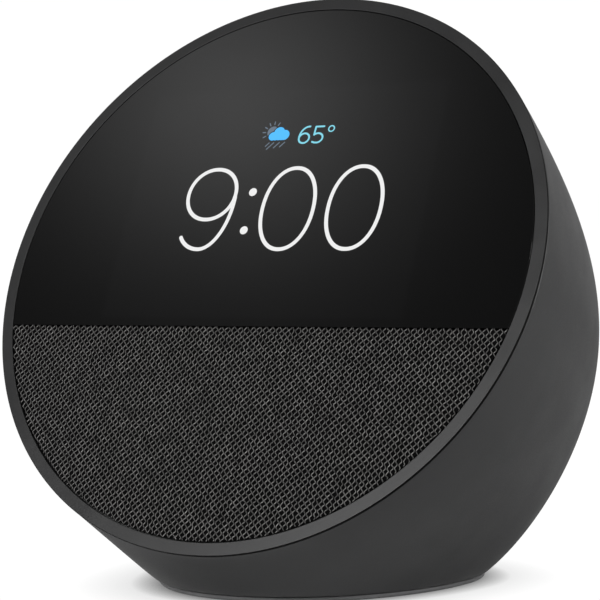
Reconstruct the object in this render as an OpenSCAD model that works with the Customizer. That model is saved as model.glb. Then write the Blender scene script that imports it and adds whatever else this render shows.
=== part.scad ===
// Round tilted-face smart display: a glass-and-fabric disc on a domed body with an oval foot.
// Frame: millimetres, +Z up, the face looks towards -Y, origin at the middle of the foot's underside.

/* [Face] */
// Diameter of the round face, over its rim
face_d = 113; // [111:0.5:115]
// Lean of the face back from upright, in degrees
face_tilt = 24.5; // [23:0.5:26]
// Height of the middle of the face above the table
face_z = 60.6; // [60:0.1:62]
// Distance of the middle of the face in front of the foot's middle
face_forward = 22.2; // [21.5:0.1:23]
// Width of the flat rim around the face
rim_w = 2.4; // [2.2:0.1:2.6]
// Distance of the line between glass and fabric below the face's middle
split_drop = 13.2; // [13:0.1:13.6]
// Groove around the glass and the fabric
groove = 0.3; // [0.2:0.05:0.35]

/* [Body] */
// Wall of the rear shell
wall = 1.8; // [1.6:0.1:2]
// Half the width of the shell's lower edge
base_half_w = 30.6; // [30:0.2:32]
// Reach of the lower edge in front of its widest station
base_front = 41.2; // [40:0.2:42]
// Reach of the lower edge behind its widest station
base_back = 29; // [28:0.2:30]
// Thickness of the foot pad, which lifts the shell off the table
foot_h = 1; // [0.8:0.1:1.2]

/* [Display] */
// Width of the lit picture
picture_w = 64; // [62:0.5:64.5]
// Height of the lit picture
picture_h = 48; // [46:0.5:48.5]
// Height of the picture's middle above the face's middle
picture_rise = 12.7; // [12.5:0.1:13]

/* [Speaker] */
// Outer diameter of the driver's flange
driver_d = 44; // [42:0.5:44]
// Distance of the driver's axis below the face's middle
driver_drop = 30; // [29:0.5:30.5]
// Spacing of the holes in the grille plate
grille_pitch = 4.2; // [4:0.1:4.6]
// Radius of a hole in the grille plate
grille_hole_r = 1.4; // [1.2:0.1:1.5]

/* [Buttons] */
// Diameter of a button cap
button_d = 8.4; // [8:0.1:8.8]
// Spacing of the three buttons
button_pitch = 14; // [13:0.5:15]
// Height of the button caps above the shell
button_proud = 0.4; // [0.3:0.05:0.5]
// Travel of a button
button_travel = 0.4; // [0.3:0.05:0.5]
// Gap around a cap in its hole
button_gap = 0.2; // [0.15:0.05:0.3]

/* [Power socket] */
// Diameter of the socket's bore
socket_d = 5.7; // [5.5:0.1:5.9]
// Diameter of the socket's centre pin
socket_pin_d = 2.1; // [1.9:0.1:2.3]
// Depth of the socket's bore
socket_depth = 9.5; // [9:0.5:10]

/* [Hidden] */
$fn = 96;
eps = 0.01;

charcoal = [0.20, 0.20, 0.21];
black = [0.05, 0.05, 0.06];
steel = [0.62, 0.63, 0.65];
copper = [0.72, 0.45, 0.25];
board_green = [0.08, 0.25, 0.16];

face_r = face_d / 2;
rim_inner_r = face_r - rim_w;
panel_r = rim_inner_r - groove;
split_y = -split_drop;
face_c = [0, -face_forward, face_z];
face_out = [0, -cos(face_tilt), sin(face_tilt)];
face_up = [0, sin(face_tilt), cos(face_tilt)];
base_mid_y = (base_front - base_back) / 2;

// ---- shell surface -------------------------------------------------------------------
// Each meridian is a cubic curve from the rim to the lower edge. Its four shape values are
// given at the back, the sides and the chin, and blended by the sine of the rim angle.
edge_drop = 0.6;               // the shell starts this far behind the rim's front
leave_angle = [-6.5, 0, 6];    // degrees off square to the face, at the rim
rise_angle = [35.5, 61.7, 95]; // degrees off upright, at the lower edge
reach_rim = [0.574, 0.87, 0.262];
reach_base = [0.607, 0.102, 0.112];
swing = -7;                    // degrees that the lower edge's stations turn towards the front
around = 72;
along = 18;

function blend(v, s) = v[1] + (v[0] - v[2]) / 2 * s + ((v[0] + v[2]) / 2 - v[1]) * s * s;
function unit(v) = v / norm(v);
function rim_dir(a) = [cos(a), sin(a) * face_up[1], sin(a) * face_up[2]];
function rim_point(a) = face_c + face_r * rim_dir(a) - edge_drop * face_out;
function base_reach(b) = sin(b) < 0 ? base_front : base_back;
function base_turn(a) = a + swing * cos(a);
function base_point(a) =
    let (b = base_turn(a))
    [base_half_w * cos(b), base_mid_y + base_reach(b) * sin(b), foot_h];
function base_dir(a) =
    let (b = base_turn(a))
    unit([base_reach(b) * cos(b), base_half_w * sin(b), 0]);
function rim_control(a) =
    let (s = sin(a), lean = blend(leave_angle, s), span = norm(base_point(a) - rim_point(a)))
    rim_point(a) + span * blend(reach_rim, s) * (rim_dir(a) * sin(lean) - face_out * cos(lean));
function base_control(a) =
    let (s = sin(a), rise = blend(rise_angle, s), span = norm(base_point(a) - rim_point(a)))
    base_point(a) + span * blend(reach_base, s) * (base_dir(a) * sin(rise) + [0, 0, cos(rise)]);
function skin(a, t) =
    pow(1 - t, 3) * rim_point(a) + 3 * pow(1 - t, 2) * t * rim_control(a)
    + 3 * (1 - t) * t * t * base_control(a) + pow(t, 3) * base_point(a);
function skin_normal(a, t) =
    unit(cross(skin(a, t + 0.001) - skin(a, t - 0.001), skin(a + 0.5, t) - skin(a - 0.5, t)));
// The shell's front edge stays flat, in the plane of the face
function skin_inset(a, t, depth) =
    t == 0 ? rim_point(a) - depth * rim_dir(a) : skin(a, t) - depth * skin_normal(a, t);

function ring(t, depth) = [for (i = [0 : around - 1]) skin_inset(i * 360 / around, t, depth)];
function flat(rows) = [for (row = rows) for (p = row) p];
function strip(j, from) = [
    for (i = [0 : around - 1])
        let (a = j * around + i, b = j * around + (i + 1) % around)
        each [[from + a, from + a + around, from + b + around], [from + a, from + b + around, from + b]]
];
function turned(faces) = [for (f = faces) [f[2], f[1], f[0]]];

// Closed solid between the outer skin and one set in by depth
module skin_shell(depth) {
    outer = flat([for (j = [0 : along]) ring(j / along, 0)]);
    inner = flat([for (j = [0 : along]) ring(j / along, depth)]);
    count = len(outer);
    sides = flat([for (j = [0 : along - 1]) strip(j, 0)]);
    lining = flat([for (j = [0 : along - 1]) strip(j, count)]);
    rim_edge = [
        for (i = [0 : around - 1])
            let (k = (i + 1) % around)
            each [[i, k, count + k], [i, count + k, count + i]]
    ];
    last = along * around;
    base_edge = [
        for (i = [0 : around - 1])
            let (a = last + i, b = last + (i + 1) % around)
            each [[a, count + b, b], [a, count + a, count + b]]
    ];
    polyhedron(
        points = concat(outer, inner),
        faces = concat(sides, turned(lining), rim_edge, base_edge),
        convexity = 6
    );
}

// Closed solid filling the outer skin
module skin_solid(depth = 0) {
    rows = flat([for (j = [0 : along]) ring(j / along, depth)]);
    sides = flat([for (j = [0 : along - 1]) strip(j, 0)]);
    top = [[for (i = [0 : around - 1]) i]];
    bottom = [[for (i = [0 : around - 1]) along * around + around - 1 - i]];
    polyhedron(points = rows, faces = concat(sides, top, bottom), convexity = 4);
}

// ---- places --------------------------------------------------------------------------
// Face frame: x to the right, y up the face, z out of the face
module at_face() {
    translate(face_c) rotate([90 - face_tilt, 0, 0]) children();
}

// Driver frame: z runs back into the body from the driver's flange
driver_seat = -7.5;
module at_driver() {
    at_face() translate([0, -driver_drop, driver_seat]) rotate([180, 0, 0]) children();
}

// Button frame: origin on the shell, z out along the middle button's travel
button_t = 0.155;
button_p = skin(90, button_t);
button_n = skin_normal(90, button_t);
button_lean = atan2(button_n[1], button_n[2]);
module at_button() {
    translate(button_p) rotate([-button_lean, 0, 0]) children();
}

// Socket frame: origin on the shell, z straight back out of the socket
socket_t = 0.845;
socket_p = skin(90, socket_t);
module at_socket() {
    translate(socket_p) rotate([-90, 0, 0]) children();
}

// ---- shapes --------------------------------------------------------------------------
module tube(r_out, r_in, z0, z1) {
    translate([0, 0, z0]) difference() {
        cylinder(r = r_out, h = z1 - z0);
        translate([0, 0, -1]) cylinder(r = r_in, h = z1 - z0 + 2);
    }
}

module disc(r, z0, z1) {
    translate([0, 0, z0]) cylinder(r = r, h = z1 - z0);
}

module box(x0, x1, y0, y1, z0, z1) {
    translate([x0, y0, z0]) cube([x1 - x0, y1 - y0, z1 - z0]);
}

module above_split(y = split_y) {
    box(-face_r, face_r, y, face_r, -60, 1);
}

module below_split(y = split_y) {
    box(-face_r, face_r, -face_r, y, -60, 1);
}

// Round wire through a list of points
module wire(points, r) {
    for (i = [0 : len(points) - 2]) {
        d = points[i + 1] - points[i];
        translate(points[i]) rotate([0, acos(d[2] / norm(d)), atan2(d[1], d[0])])
            cylinder(r = r, h = norm(d), $fn = 24);
    }
    for (i = [1 : len(points) - 2]) translate(points[i]) sphere(r = r * 1.1, $fn = 24);
}

// Outline of the foot, set in by some distance
function foot_outline(inset) = [
    for (i = [0 : around - 1])
        let (b = i * 360 / around)
        [(base_half_w - inset) * cos(b), base_mid_y + (base_reach(b) - inset) * sin(b)]
];
module foot_slab(inset, z0, z1) {
    translate([0, 0, z0]) linear_extrude(z1 - z0) polygon(foot_outline(inset));
}

// ---- front -------------------------------------------------------------------------------
rim_t = 0.5;
ledge_r = 52.4;
neck_r = rim_inner_r + 0.25;
ledge_z = -1.3;
glass_t = 1.1;
panel_z = -0.05;
glass_back = panel_z - glass_t;
module rim_ring() {
    color(charcoal) at_face() rotate_extrude() polygon([
        [rim_inner_r, 0], [face_r - 0.15, 0], [face_r, -0.15], [face_r, -rim_t + 0.15],
        [face_r - 0.15, -rim_t], [neck_r, -rim_t], [neck_r, ledge_z - 0.9], [ledge_r, ledge_z - 0.9],
        [ledge_r, ledge_z], [rim_inner_r, ledge_z],
    ]);
}

module cover_glass() {
    color(black) at_face() intersection() {
        disc(panel_r, glass_back, panel_z);
        above_split(split_y + 0.05);
    }
}

module glass_adhesive() {
    color("dimgray") at_face() intersection() {
        tube(panel_r - 0.1, ledge_r + 0.2, ledge_z, glass_back);
        above_split(split_y + 0.5);
    }
}

fabric_t = 0.5;
fabric_back = panel_z - fabric_t;
module speaker_fabric() {
    color([0.16, 0.16, 0.16]) at_face() intersection() {
        disc(panel_r, fabric_back, panel_z);
        below_split(split_y - 0.05);
    }
}

grille_back = -2.2;
module grille_holes() {
    reach = driver_d / 2 - 2.5;
    row_h = grille_pitch * sin(60);
    rows = floor(reach / row_h);
    for (j = [-rows : rows]) {
        y = -driver_drop + j * row_h;
        shift = abs(j % 2) * grille_pitch / 2;
        for (i = [-6 : 6]) {
            x = i * grille_pitch + shift;
            fits = norm([x, y + driver_drop]) < reach && y < split_y - 2.4;
            if (fits) translate([x, y, grille_back - 1]) cylinder(r = grille_hole_r, h = 3, $fn = 24);
        }
    }
}
module grille_plate() {
    color(black) at_face() difference() {
        intersection() {
            union() {
                disc(panel_r - 0.05, ledge_z, fabric_back);
                disc(ledge_r - 0.2, grille_back, ledge_z + eps);
            }
            below_split(split_y - 0.2);
        }
        grille_holes();
    }
}

// ---- display -------------------------------------------------------------------------------
lcd_border = 1.2;
lcd_front = -1.25;
lcd_back = -2.75;
tray_back = -5;
module picture_box(border, z0, z1) {
    w = picture_w / 2 + border;
    h = picture_h / 2 + border;
    box(-w, w, picture_rise - h, picture_rise + h, z0, z1);
}
module lcd_panel() {
    color([0.10, 0.11, 0.13]) at_face() picture_box(lcd_border, lcd_back, lcd_front);
}

module backlight_tray() {
    color(steel) at_face() difference() {
        picture_box(lcd_border + 0.6, tray_back, lcd_back);
        picture_box(0.4, lcd_back - 0.4, lcd_back + 1);
    }
}

flex_y = 29.5;
board_front = -14.6;
board_t = 1.2;
board_back = board_front - board_t;
module lcd_flex() {
    color([0.75, 0.50, 0.15]) at_face() union() {
        box(-8, 8, flex_y, flex_y + 0.2, board_front + 0.8, tray_back);
        box(-8, 8, flex_y, flex_y + 5, board_front + 0.8, board_front + 1);
        box(-6, 6, flex_y + 1.5, flex_y + 5, board_front, board_front + 0.8);
    }
}

// ---- chassis ---------------------------------------------------------------------------------
chassis_r = 52.1;
chassis_front = -2.45;
chassis_back = -7;
screw_ring_r = 49.2;
chassis_angles = [20, 90, 160, 235, 305];
standoffs = [[-31, 2], [31, 2], [-25, 34.5], [25, 34.5]];
module chassis_places() {
    for (a = chassis_angles) rotate([0, 0, a]) translate([screw_ring_r, 0, 0]) children();
}
module board_places() {
    for (p = standoffs) translate([p[0], p[1], 0]) children();
}
module front_chassis() {
    color([0.24, 0.24, 0.25]) difference() {
        chassis_plate();
        at_driver() driver_places() disc(0.6, -2.5, 0);
    }
}
module chassis_plate() {
    at_face() difference() {
        union() {
            disc(chassis_r, chassis_back, chassis_front);
            board_places() disc(3, board_front, chassis_back + eps);
        }
        picture_box(lcd_border + 0.9, tray_back - 0.05, chassis_front + 1);
        translate([0, -driver_drop, -9]) cylinder(r = 19.6, h = 12);
        box(-9, 9, flex_y - 0.8, flex_y + 1, -10, 0);
        chassis_places() disc(1.3, -9, 0);
        chassis_places() disc(2.4, -4.3, 0);
        board_places() disc(0.8, board_front - 1, -8);
    }
}

module mount_ring() {
    color([0.24, 0.24, 0.25]) at_face() difference() {
        tube(chassis_r, 46.4, -11, chassis_back);
        chassis_places() disc(1.1, -12, -6);
        box(-30, 30, -60, -30, -12, -6);
    }
}

module chassis_screws() {
    color(steel) at_face() chassis_places() difference() {
        union() {
            disc(2.1, -4.3, -3);
            disc(1.1, -10.4, -4.3 + eps);
        }
        translate([0, 0, -3.7]) cylinder(r = 0.9, h = 1, $fn = 6);
    }
}

// ---- speaker driver --------------------------------------------------------------------------
flange_r = driver_d / 2;
cone_rim_r = 15.55;
flange_hole_r = 18.65;
driver_screw_r = 20.75;
module driver_places() {
    for (a = [45 : 90 : 315]) rotate([0, 0, a]) translate([driver_screw_r, 0, 0]) children();
}
coil_out_r = 7.1;
coil_in_r = 6.5;
magnet_r = 12.5;
module speaker_gasket() {
    color([0.12, 0.12, 0.12]) at_driver() difference() {
        tube(flange_r, 19.6, -0.5, 0);
        driver_places() disc(0.7, -1, 1);
    }
}

module speaker_basket() {
    color(steel) at_driver() difference() {
        union() {
            tube(flange_r, flange_hole_r, 0, 1);
            rotate_extrude() polygon([
                [flange_hole_r, 1 - eps], [flange_hole_r + 0.7, 1 - eps], [15.6, 9], [15.6, 10.2],
                [8.6, 10.2], [8.6, 9], [14.4, 9],
            ]);
        }
        for (a = [0, 90]) rotate([0, 0, a]) box(-30, 30, -4.5, 4.5, 2.6, 8);
        driver_places() disc(0.7, -1, 2);
    }
}

module surround() {
    color([0.08, 0.08, 0.08]) at_driver() translate([0, 0, 1.1]) rotate_extrude()
        translate([(cone_rim_r + flange_hole_r) / 2, 0]) intersection() {
            difference() {
                circle(r = 1.5);
                circle(r = 1.2);
            }
            translate([-2, -3]) square([4, 3]);
        }
}

module speaker_cone() {
    color([0.15, 0.15, 0.16]) at_driver() rotate_extrude() polygon([
        [coil_in_r, 4], [cone_rim_r, 1.1], [cone_rim_r, 1.6], [coil_out_r, 4.4], [coil_in_r, 4.4],
    ]);
}

module dust_cap() {
    color([0.10, 0.10, 0.10]) at_driver() intersection() {
        translate([0, 0, 13]) difference() {
            sphere(r = 11);
            sphere(r = 10.6);
        }
        disc(coil_in_r - 0.1, 0, 4.1);
    }
}

module voice_coil() {
    color(copper) at_driver() tube(coil_out_r, coil_in_r, 4.4, 13);
}

module spider() {
    color([0.70, 0.55, 0.30]) at_driver() rotate_extrude() union() {
        translate([coil_out_r + 0.05, 6.5]) square([7.1, 0.3]);
        for (x = [8.6 : 1.8 : 13]) translate([x, 6.6]) square([0.7, 0.7]);
    }
}

module top_plate() {
    color(steel) at_driver() tube(magnet_r, 7.5, 10.2, 12.2);
}

module magnet() {
    color([0.25, 0.25, 0.27]) at_driver() tube(magnet_r, 9, 12.2, 16.2);
}

module pole_yoke() {
    color(steel) at_driver() union() {
        disc(magnet_r, 16.2, 17.8);
        disc(6.2, 10.4, 16.2 + eps);
    }
}

module driver_screws() {
    color(steel) at_driver() driver_places() {
        disc(1.2, 1, 1.8);
        disc(0.6, -2.4, 1 + eps);
    }
}

box_wall = 1.6;
box_depth = 34;
module speaker_box_space(inset) {
    intersection() {
        at_face() intersection() {
            disc(chassis_r - 0.5 - inset, -box_depth + inset, chassis_back);
            box(-27 + inset, 27 - inset, -60, -5.5 - inset, -60, 0);
        }
        box(-60, 60, -80, 60, 9.3 + inset, 120);
    }
}
module speaker_box() {
    color([0.18, 0.18, 0.19]) difference() {
        speaker_box_space(0);
        speaker_box_space(box_wall);
        at_face() translate([0, -driver_drop, 0]) disc(flange_r + 0.3, -10, 0);
    }
}

wire_r = 0.7;
module speaker_wires() {
    color("firebrick") at_face() for (x = [-1.2, 1.2])
        wire([[x, -5.3, -30], [x, -2, -30], [x, 4, -24], [x, 4, board_back]], wire_r);
}

// ---- main board ----------------------------------------------------------------------------------
module main_board() {
    color(board_green) at_face() difference() {
        intersection() {
            box(-36, 36, -3.5, 42, board_back, board_front);
            disc(47.5, -20, 0);
        }
        board_places() disc(1.15, -20, 0);
        box(-3, 3, 2.8, 5.2, -20, 0);
    }
}

module board_screws() {
    color(steel) at_face() board_places() {
        disc(1.9, board_back - 1.2, board_back);
        disc(0.8, board_back - eps, -9.5);
    }
}

can_h = 2;
module shield_can() {
    color([0.70, 0.70, 0.72]) at_face() difference() {
        box(-14, 14, 10, 32, board_back - can_h, board_back);
        box(-13.7, 13.7, 10.3, 31.7, board_back - can_h + 0.3, board_back + 1);
    }
}

module board_chips() {
    color([0.08, 0.08, 0.09]) at_face() {
        box(-7, 7, 14, 28, board_back - 1.3, board_back);
        box(-12.5, -8.5, 16, 26, board_back - 1, board_back);
        box(8.5, 12.5, 16, 26, board_back - 1, board_back);
        box(19, 27, 14, 22, board_back - 1.2, board_back);
        box(-27, -20, 12, 22, board_back - 1.2, board_back);
        box(-26, -20, -2.5, 1, board_back - 3, board_back);
        box(14, 24, -2.8, 1, board_back - 4, board_back);
        box(-5, 5, 36, 40, board_back - 2.6, board_back);
        for (i = [0 : 5]) box(-18 + 5 * i, -16 + 5 * i, 6.5, 8.5, board_back - 1, board_back);
    }
}

module thermal_pad() {
    color([0.75, 0.75, 0.80]) at_face() box(-9, 9, 12, 30, board_back - can_h - 0.8, board_back - can_h);
}

module heat_spreader() {
    color(steel) at_face() difference() {
        box(-17, 17, 7, 34, board_back - can_h - 2.3, board_back - can_h - 0.8);
        for (x = [-14, 14]) translate([x, 9.5, -30]) cylinder(r = 1.2, h = 20);
    }
}

// ---- buttons --------------------------------------------------------------------------------------
button_r = button_d / 2;
flange_top = -wall - 2.6;
flange_t = 0.8;
cap_foot = flange_top - flange_t;
board_top = -9.6;
function button_x(side) = side * button_pitch;
// Surface height under each cap, in the button frame
function side_angle(side) = 90 - side * asin(button_pitch / face_r) * 1.02;
function side_point(side) = skin(side_angle(side), button_t);
function cap_rise(side) = (side_point(side) - button_p) * button_n;
function cap_y(side) =
    (side_point(side) - button_p) * [0, cos(button_lean), -sin(button_lean)];
module cap(side) {
    n = skin_normal(side_angle(side), button_t);
    ball_r = 46;
    p = side_point(side);
    intersection() {
        at_button() translate([button_x(side), cap_y(side), cap_rise(side)]) union() {
            disc(button_r, cap_foot, 6);
            disc(button_r + 0.9, cap_foot, flange_top);
        }
        translate(p - (ball_r - button_proud) * n) sphere(r = ball_r);
    }
}
module volume_down_button() {
    color(charcoal) cap(-1);
}
module mute_button() {
    color(charcoal) cap(0);
}
module volume_up_button() {
    color(charcoal) cap(1);
}

module button_holes() {
    at_button() for (side = [-1 : 1])
        translate([button_x(side), cap_y(side), cap_rise(side)])
            disc(button_r + button_gap, -6, 6);
}

bracket_w = 21.5;
module button_bracket() {
    color([0.24, 0.24, 0.25]) at_button() difference() {
        union() {
            box(-bracket_w, bracket_w, -7, 7, board_top - 3, board_top - 1);
            for (x = [-20, 20]) box(x - 1.4, x + 1.4, -4, 4, board_top - 1 - eps, board_top);
        }
        box(-17, 17, -4.5, 4.5, board_top - 4, board_top);
    }
}

module button_board() {
    color(board_green) at_button() box(-18.5, 18.5, -6.5, 6.5, board_top - 1, board_top);
}

module button_switches() {
    color([0.75, 0.75, 0.72]) at_button() for (side = [-1 : 1]) {
        top = cap_rise(side) + cap_foot - button_travel - 0.1;
        translate([button_x(side), cap_y(side), 0]) {
            box(-2.6, 2.6, -2.6, 2.6, board_top, board_top + 1.2);
            disc(1.5, board_top + 1.2 - eps, max(top, board_top + 1.4));
        }
    }
}

mic_x = button_pitch / 2;
module microphones() {
    color([0.80, 0.75, 0.55]) at_button() for (x = [-mic_x, mic_x])
        box(x - 1.9, x + 1.9, -1.5, 1.5, board_top, board_top + 1.1);
}

module microphone_boots() {
    color([0.10, 0.10, 0.10]) at_button() for (x = [-mic_x, mic_x])
        translate([x, 0, 0]) tube(1.5, 0.5, board_top + 1.1, -wall - 0.9);
}

module button_flex() {
    color([0.75, 0.50, 0.15]) at_face() union() {
        box(-5, 5, 40.2, 40.4, -24, board_back - 1.6);
        box(-5, 5, 40.2, 42.5, -24.2, -24);
    }
}

module antenna() {
    color([0.75, 0.60, 0.25]) at_face() box(-34, -33.4, 6, 28, -30, board_back);
}

// ---- rear shell -------------------------------------------------------------------------------------
trim_r = 6.2;
module rear_shell() {
    color(charcoal) difference() {
        skin_shell(wall);
        button_holes();
        at_button() for (x = [-mic_x, mic_x]) translate([x, 0, 0]) disc(0.5, -5, 3);
        at_socket() disc(trim_r + 0.1, -12, 12);
    }
}

// ---- power socket --------------------------------------------------------------------------------------
socket_face = -3;
socket_body = 4.6;
socket_back = socket_face - socket_depth - 2.5;
module power_socket() {
    color(black) at_socket() difference() {
        union() {
            box(-socket_body, socket_body, -socket_body, socket_body, socket_back, socket_face - 1.5);
            disc(4.3, socket_face - 1.5 - eps, socket_face);
        }
        difference() {
            disc(socket_d / 2, socket_face - socket_depth, socket_face + 1);
            disc(socket_pin_d / 2, socket_face - socket_depth - 1, socket_face - 0.8);
        }
    }
}

module socket_trim() {
    color(charcoal) intersection() {
        at_socket() union() {
            tube(trim_r, 4.9, socket_face - 1.4, 8);
            tube(trim_r, 4.35, socket_face - 1.4, socket_face);
        }
        skin_solid();
    }
}

module socket_board() {
    color(board_green) at_socket() box(-7, 7, socket_body, socket_body + 1.2, socket_back - 4, -7.5);
}

module power_wires() {
    color("gold") for (x = [-4, 4])
        wire([
            socket_p + [x, socket_back - 2, -socket_body + 0.7],
            socket_p + [x, socket_back - 2, 8],
            socket_p + [x, socket_back - 6, 22],
            face_c + [x, 0, 0] - 2.5 * face_up - 24 * face_out,
            face_c + [x, 0, 0] - 1 * face_up + (board_back - 4) * face_out,
        ], wire_r);
}

// ---- base ---------------------------------------------------------------------------------------------
plate_inset = 3.6;
plate_top = foot_h + 1.8;
weight_top = plate_top + 4.2;
base_places = [[-16.5, -10], [16.5, -10], [-16.5, 16], [16.5, 16]];
module at_base_screws() {
    for (p = base_places) translate([p[0], p[1], 0]) children();
}
module foot_pad() {
    color([0.10, 0.10, 0.10]) difference() {
        foot_slab(0.4, 0, foot_h);
        foot_slab(6, 0.5, foot_h + 1);
    }
}

module base_plate() {
    color([0.20, 0.20, 0.21]) difference() {
        foot_slab(plate_inset, foot_h, plate_top);
        at_base_screws() disc(1.7, 0, 10);
        at_base_screws() disc(3, 0, foot_h + 1);
    }
}

// Room for a boss's arm in the weight
module boss_slot(p) {
    reach = sign(p[0]) * 40;
    box(min(p[0], reach), max(p[0], reach), p[1] - 1.8, p[1] + 1.8, 0, 20);
}

module ballast_weight() {
    color(steel) difference() {
        foot_slab(7.5, plate_top, weight_top);
        at_base_screws() disc(4.3, 0, 20);
        for (p = base_places) boss_slot(p);
    }
}

module base_frame() {
    color([0.24, 0.24, 0.25]) difference() {
        union() {
            difference() {
                foot_slab(plate_inset, plate_top, weight_top + 1);
                foot_slab(plate_inset + 2, plate_top - 1, weight_top + 2);
            }
            at_base_screws() disc(4, plate_top, weight_top + 1);
            for (p = base_places) boss_arm(p);
        }
        at_base_screws() disc(1.3, 0, weight_top);
    }
}
// Arm from a screw boss out to the frame's wall
module boss_arm(p) {
    reach = sign(p[0]) * 23;
    box(min(p[0], reach), max(p[0], reach), p[1] - 1.5, p[1] + 1.5, plate_top, weight_top + 1);
}

module base_screws() {
    color(steel) at_base_screws() difference() {
        union() {
            disc(2.7, foot_h - 0.3, foot_h + 1);
            disc(1.3, foot_h + 1 - eps, weight_top - 0.6);
        }
        translate([0, 0, foot_h - 1]) cylinder(r = 1, h = 1.3, $fn = 6);
    }
}

rim_ring();
cover_glass();
glass_adhesive();
speaker_fabric();
grille_plate();
lcd_panel();
backlight_tray();
lcd_flex();
front_chassis();
mount_ring();
chassis_screws();
speaker_gasket();
speaker_basket();
surround();
speaker_cone();
dust_cap();
voice_coil();
spider();
top_plate();
magnet();
pole_yoke();
driver_screws();
speaker_box();
speaker_wires();
main_board();
board_screws();
shield_can();
board_chips();
thermal_pad();
heat_spreader();
rear_shell();
volume_down_button();
mute_button();
volume_up_button();
button_bracket();
button_board();
button_switches();
microphones();
microphone_boots();
button_flex();
antenna();
power_socket();
socket_trim();
socket_board();
power_wires();
base_frame();
base_plate();
base_screws();
ballast_weight();
foot_pad();
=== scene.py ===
"""Round smart display with a tilted glass-and-cloth face: its pieces, finishes and studio.

Laid out as an add-on. Sizes are in metres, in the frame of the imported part: +Z up, the face
looks towards -Y, and the origin is the middle of the foot's underside.
"""

import math

import bmesh
import bpy
import numpy as np
from bpy.props import FloatProperty, FloatVectorProperty, IntProperty, PointerProperty
from mathutils import Matrix, Vector
from mathutils.bvhtree import BVHTree


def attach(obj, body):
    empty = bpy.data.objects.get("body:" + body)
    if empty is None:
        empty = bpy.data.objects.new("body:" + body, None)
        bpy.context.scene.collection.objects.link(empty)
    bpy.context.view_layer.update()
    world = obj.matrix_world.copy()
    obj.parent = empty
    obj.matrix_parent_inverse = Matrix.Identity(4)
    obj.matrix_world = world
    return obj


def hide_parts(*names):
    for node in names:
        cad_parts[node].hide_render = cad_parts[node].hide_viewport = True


bl_info = {
    "name": "Round smart display",
    "version": (1, 0, 0),
    "blender": (4, 5, 0),
    "location": "3D View > Sidebar > Display",
    "description": "Builds the visible pieces, finishes and studio of a round smart display",
    "category": "Object",
}

MM = 0.001
HOUSING = "housing"

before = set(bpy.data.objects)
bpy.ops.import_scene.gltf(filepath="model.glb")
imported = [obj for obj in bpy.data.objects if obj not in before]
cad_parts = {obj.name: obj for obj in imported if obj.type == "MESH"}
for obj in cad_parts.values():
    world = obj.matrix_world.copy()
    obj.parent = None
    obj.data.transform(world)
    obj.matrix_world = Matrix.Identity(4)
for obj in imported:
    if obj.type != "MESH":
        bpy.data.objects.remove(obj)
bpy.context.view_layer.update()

# ---- the face and the shell's surface, in millimetres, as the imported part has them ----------
# (the seam, the glass and the cloth's upper edge are set off from it by up to 0.25 mm)
FACE_TILT = math.radians(24.5)
FACE_R = 56.5
RIM_W = 2.4
GROOVE = 0.3
PANEL_R = FACE_R - RIM_W - GROOVE
GLASS_R = PANEL_R + 0.12
SPLIT_Y = -13.2
FACE_C = np.array([0.0, -22.2, 60.6])
FACE_OUT = np.array([0.0, -math.cos(FACE_TILT), math.sin(FACE_TILT)])
FACE_UP = np.array([0.0, math.sin(FACE_TILT), math.cos(FACE_TILT)])
RIGHT = np.array([1.0, 0.0, 0.0])
WALL = 1.8
EDGE_DROP = 0.6
BASE_HALF_W = 30.6
BASE_FRONT = 41.2
BASE_BACK = 29.0
FOOT_H = 1.0
BASE_MID_Y = (BASE_FRONT - BASE_BACK) / 2
LEAVE_ANGLE = (-6.5, 0.0, 6.0)
RISE_ANGLE = (35.5, 61.7, 95.0)
REACH_RIM = (0.574, 0.87, 0.262)
REACH_BASE = (0.607, 0.102, 0.112)
SWING = math.radians(-7.0)
PANEL_Z = -0.05
SPLIT_RISE = 0.22
LIP = 0.12
RECESS = 0.7
RIM_SEAM = 0.09
FACE_UV = 120.0
CLOTH_DROP = 0.21

# ---- the studio, in metres: where the camera stands, and each light's place and size --------
CAMERA_PLACE = (0.182735, -0.326885, 0.053529)
CAMERA_TURN = math.radians(29.7016)
LIGHTS = {
    "right": ((0.9, 0.1, 0.35), 0.6),
    "left": ((-0.8, 0.3, 0.4), 0.6),
    "front": ((-0.21, -0.74, 0.37), 0.3),
    "wide": ((-0.04, -0.78, 0.32), 0.4),
    "back": ((0.0, 0.8, 0.7), 0.6),
}
FOOT_EDGE = 0.55
BUTTON_T = 0.155
BUTTON_GAP = 0.2
SOCKET_T = 0.845


def blend3(values, s):
    """Shape value at the sine of a rim angle, from its values at the back, sides and chin."""
    back, side, chin = values
    return side + (back - chin) / 2 * s + ((back + chin) / 2 - side) * s * s


def unit(v):
    """Vectors scaled to length one."""
    return v / np.linalg.norm(v, axis=-1, keepdims=True)


def rim_dir(a):
    """Direction from the face's middle to its rim at an angle."""
    return np.cos(a)[..., None] * RIGHT + np.sin(a)[..., None] * FACE_UP


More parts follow.
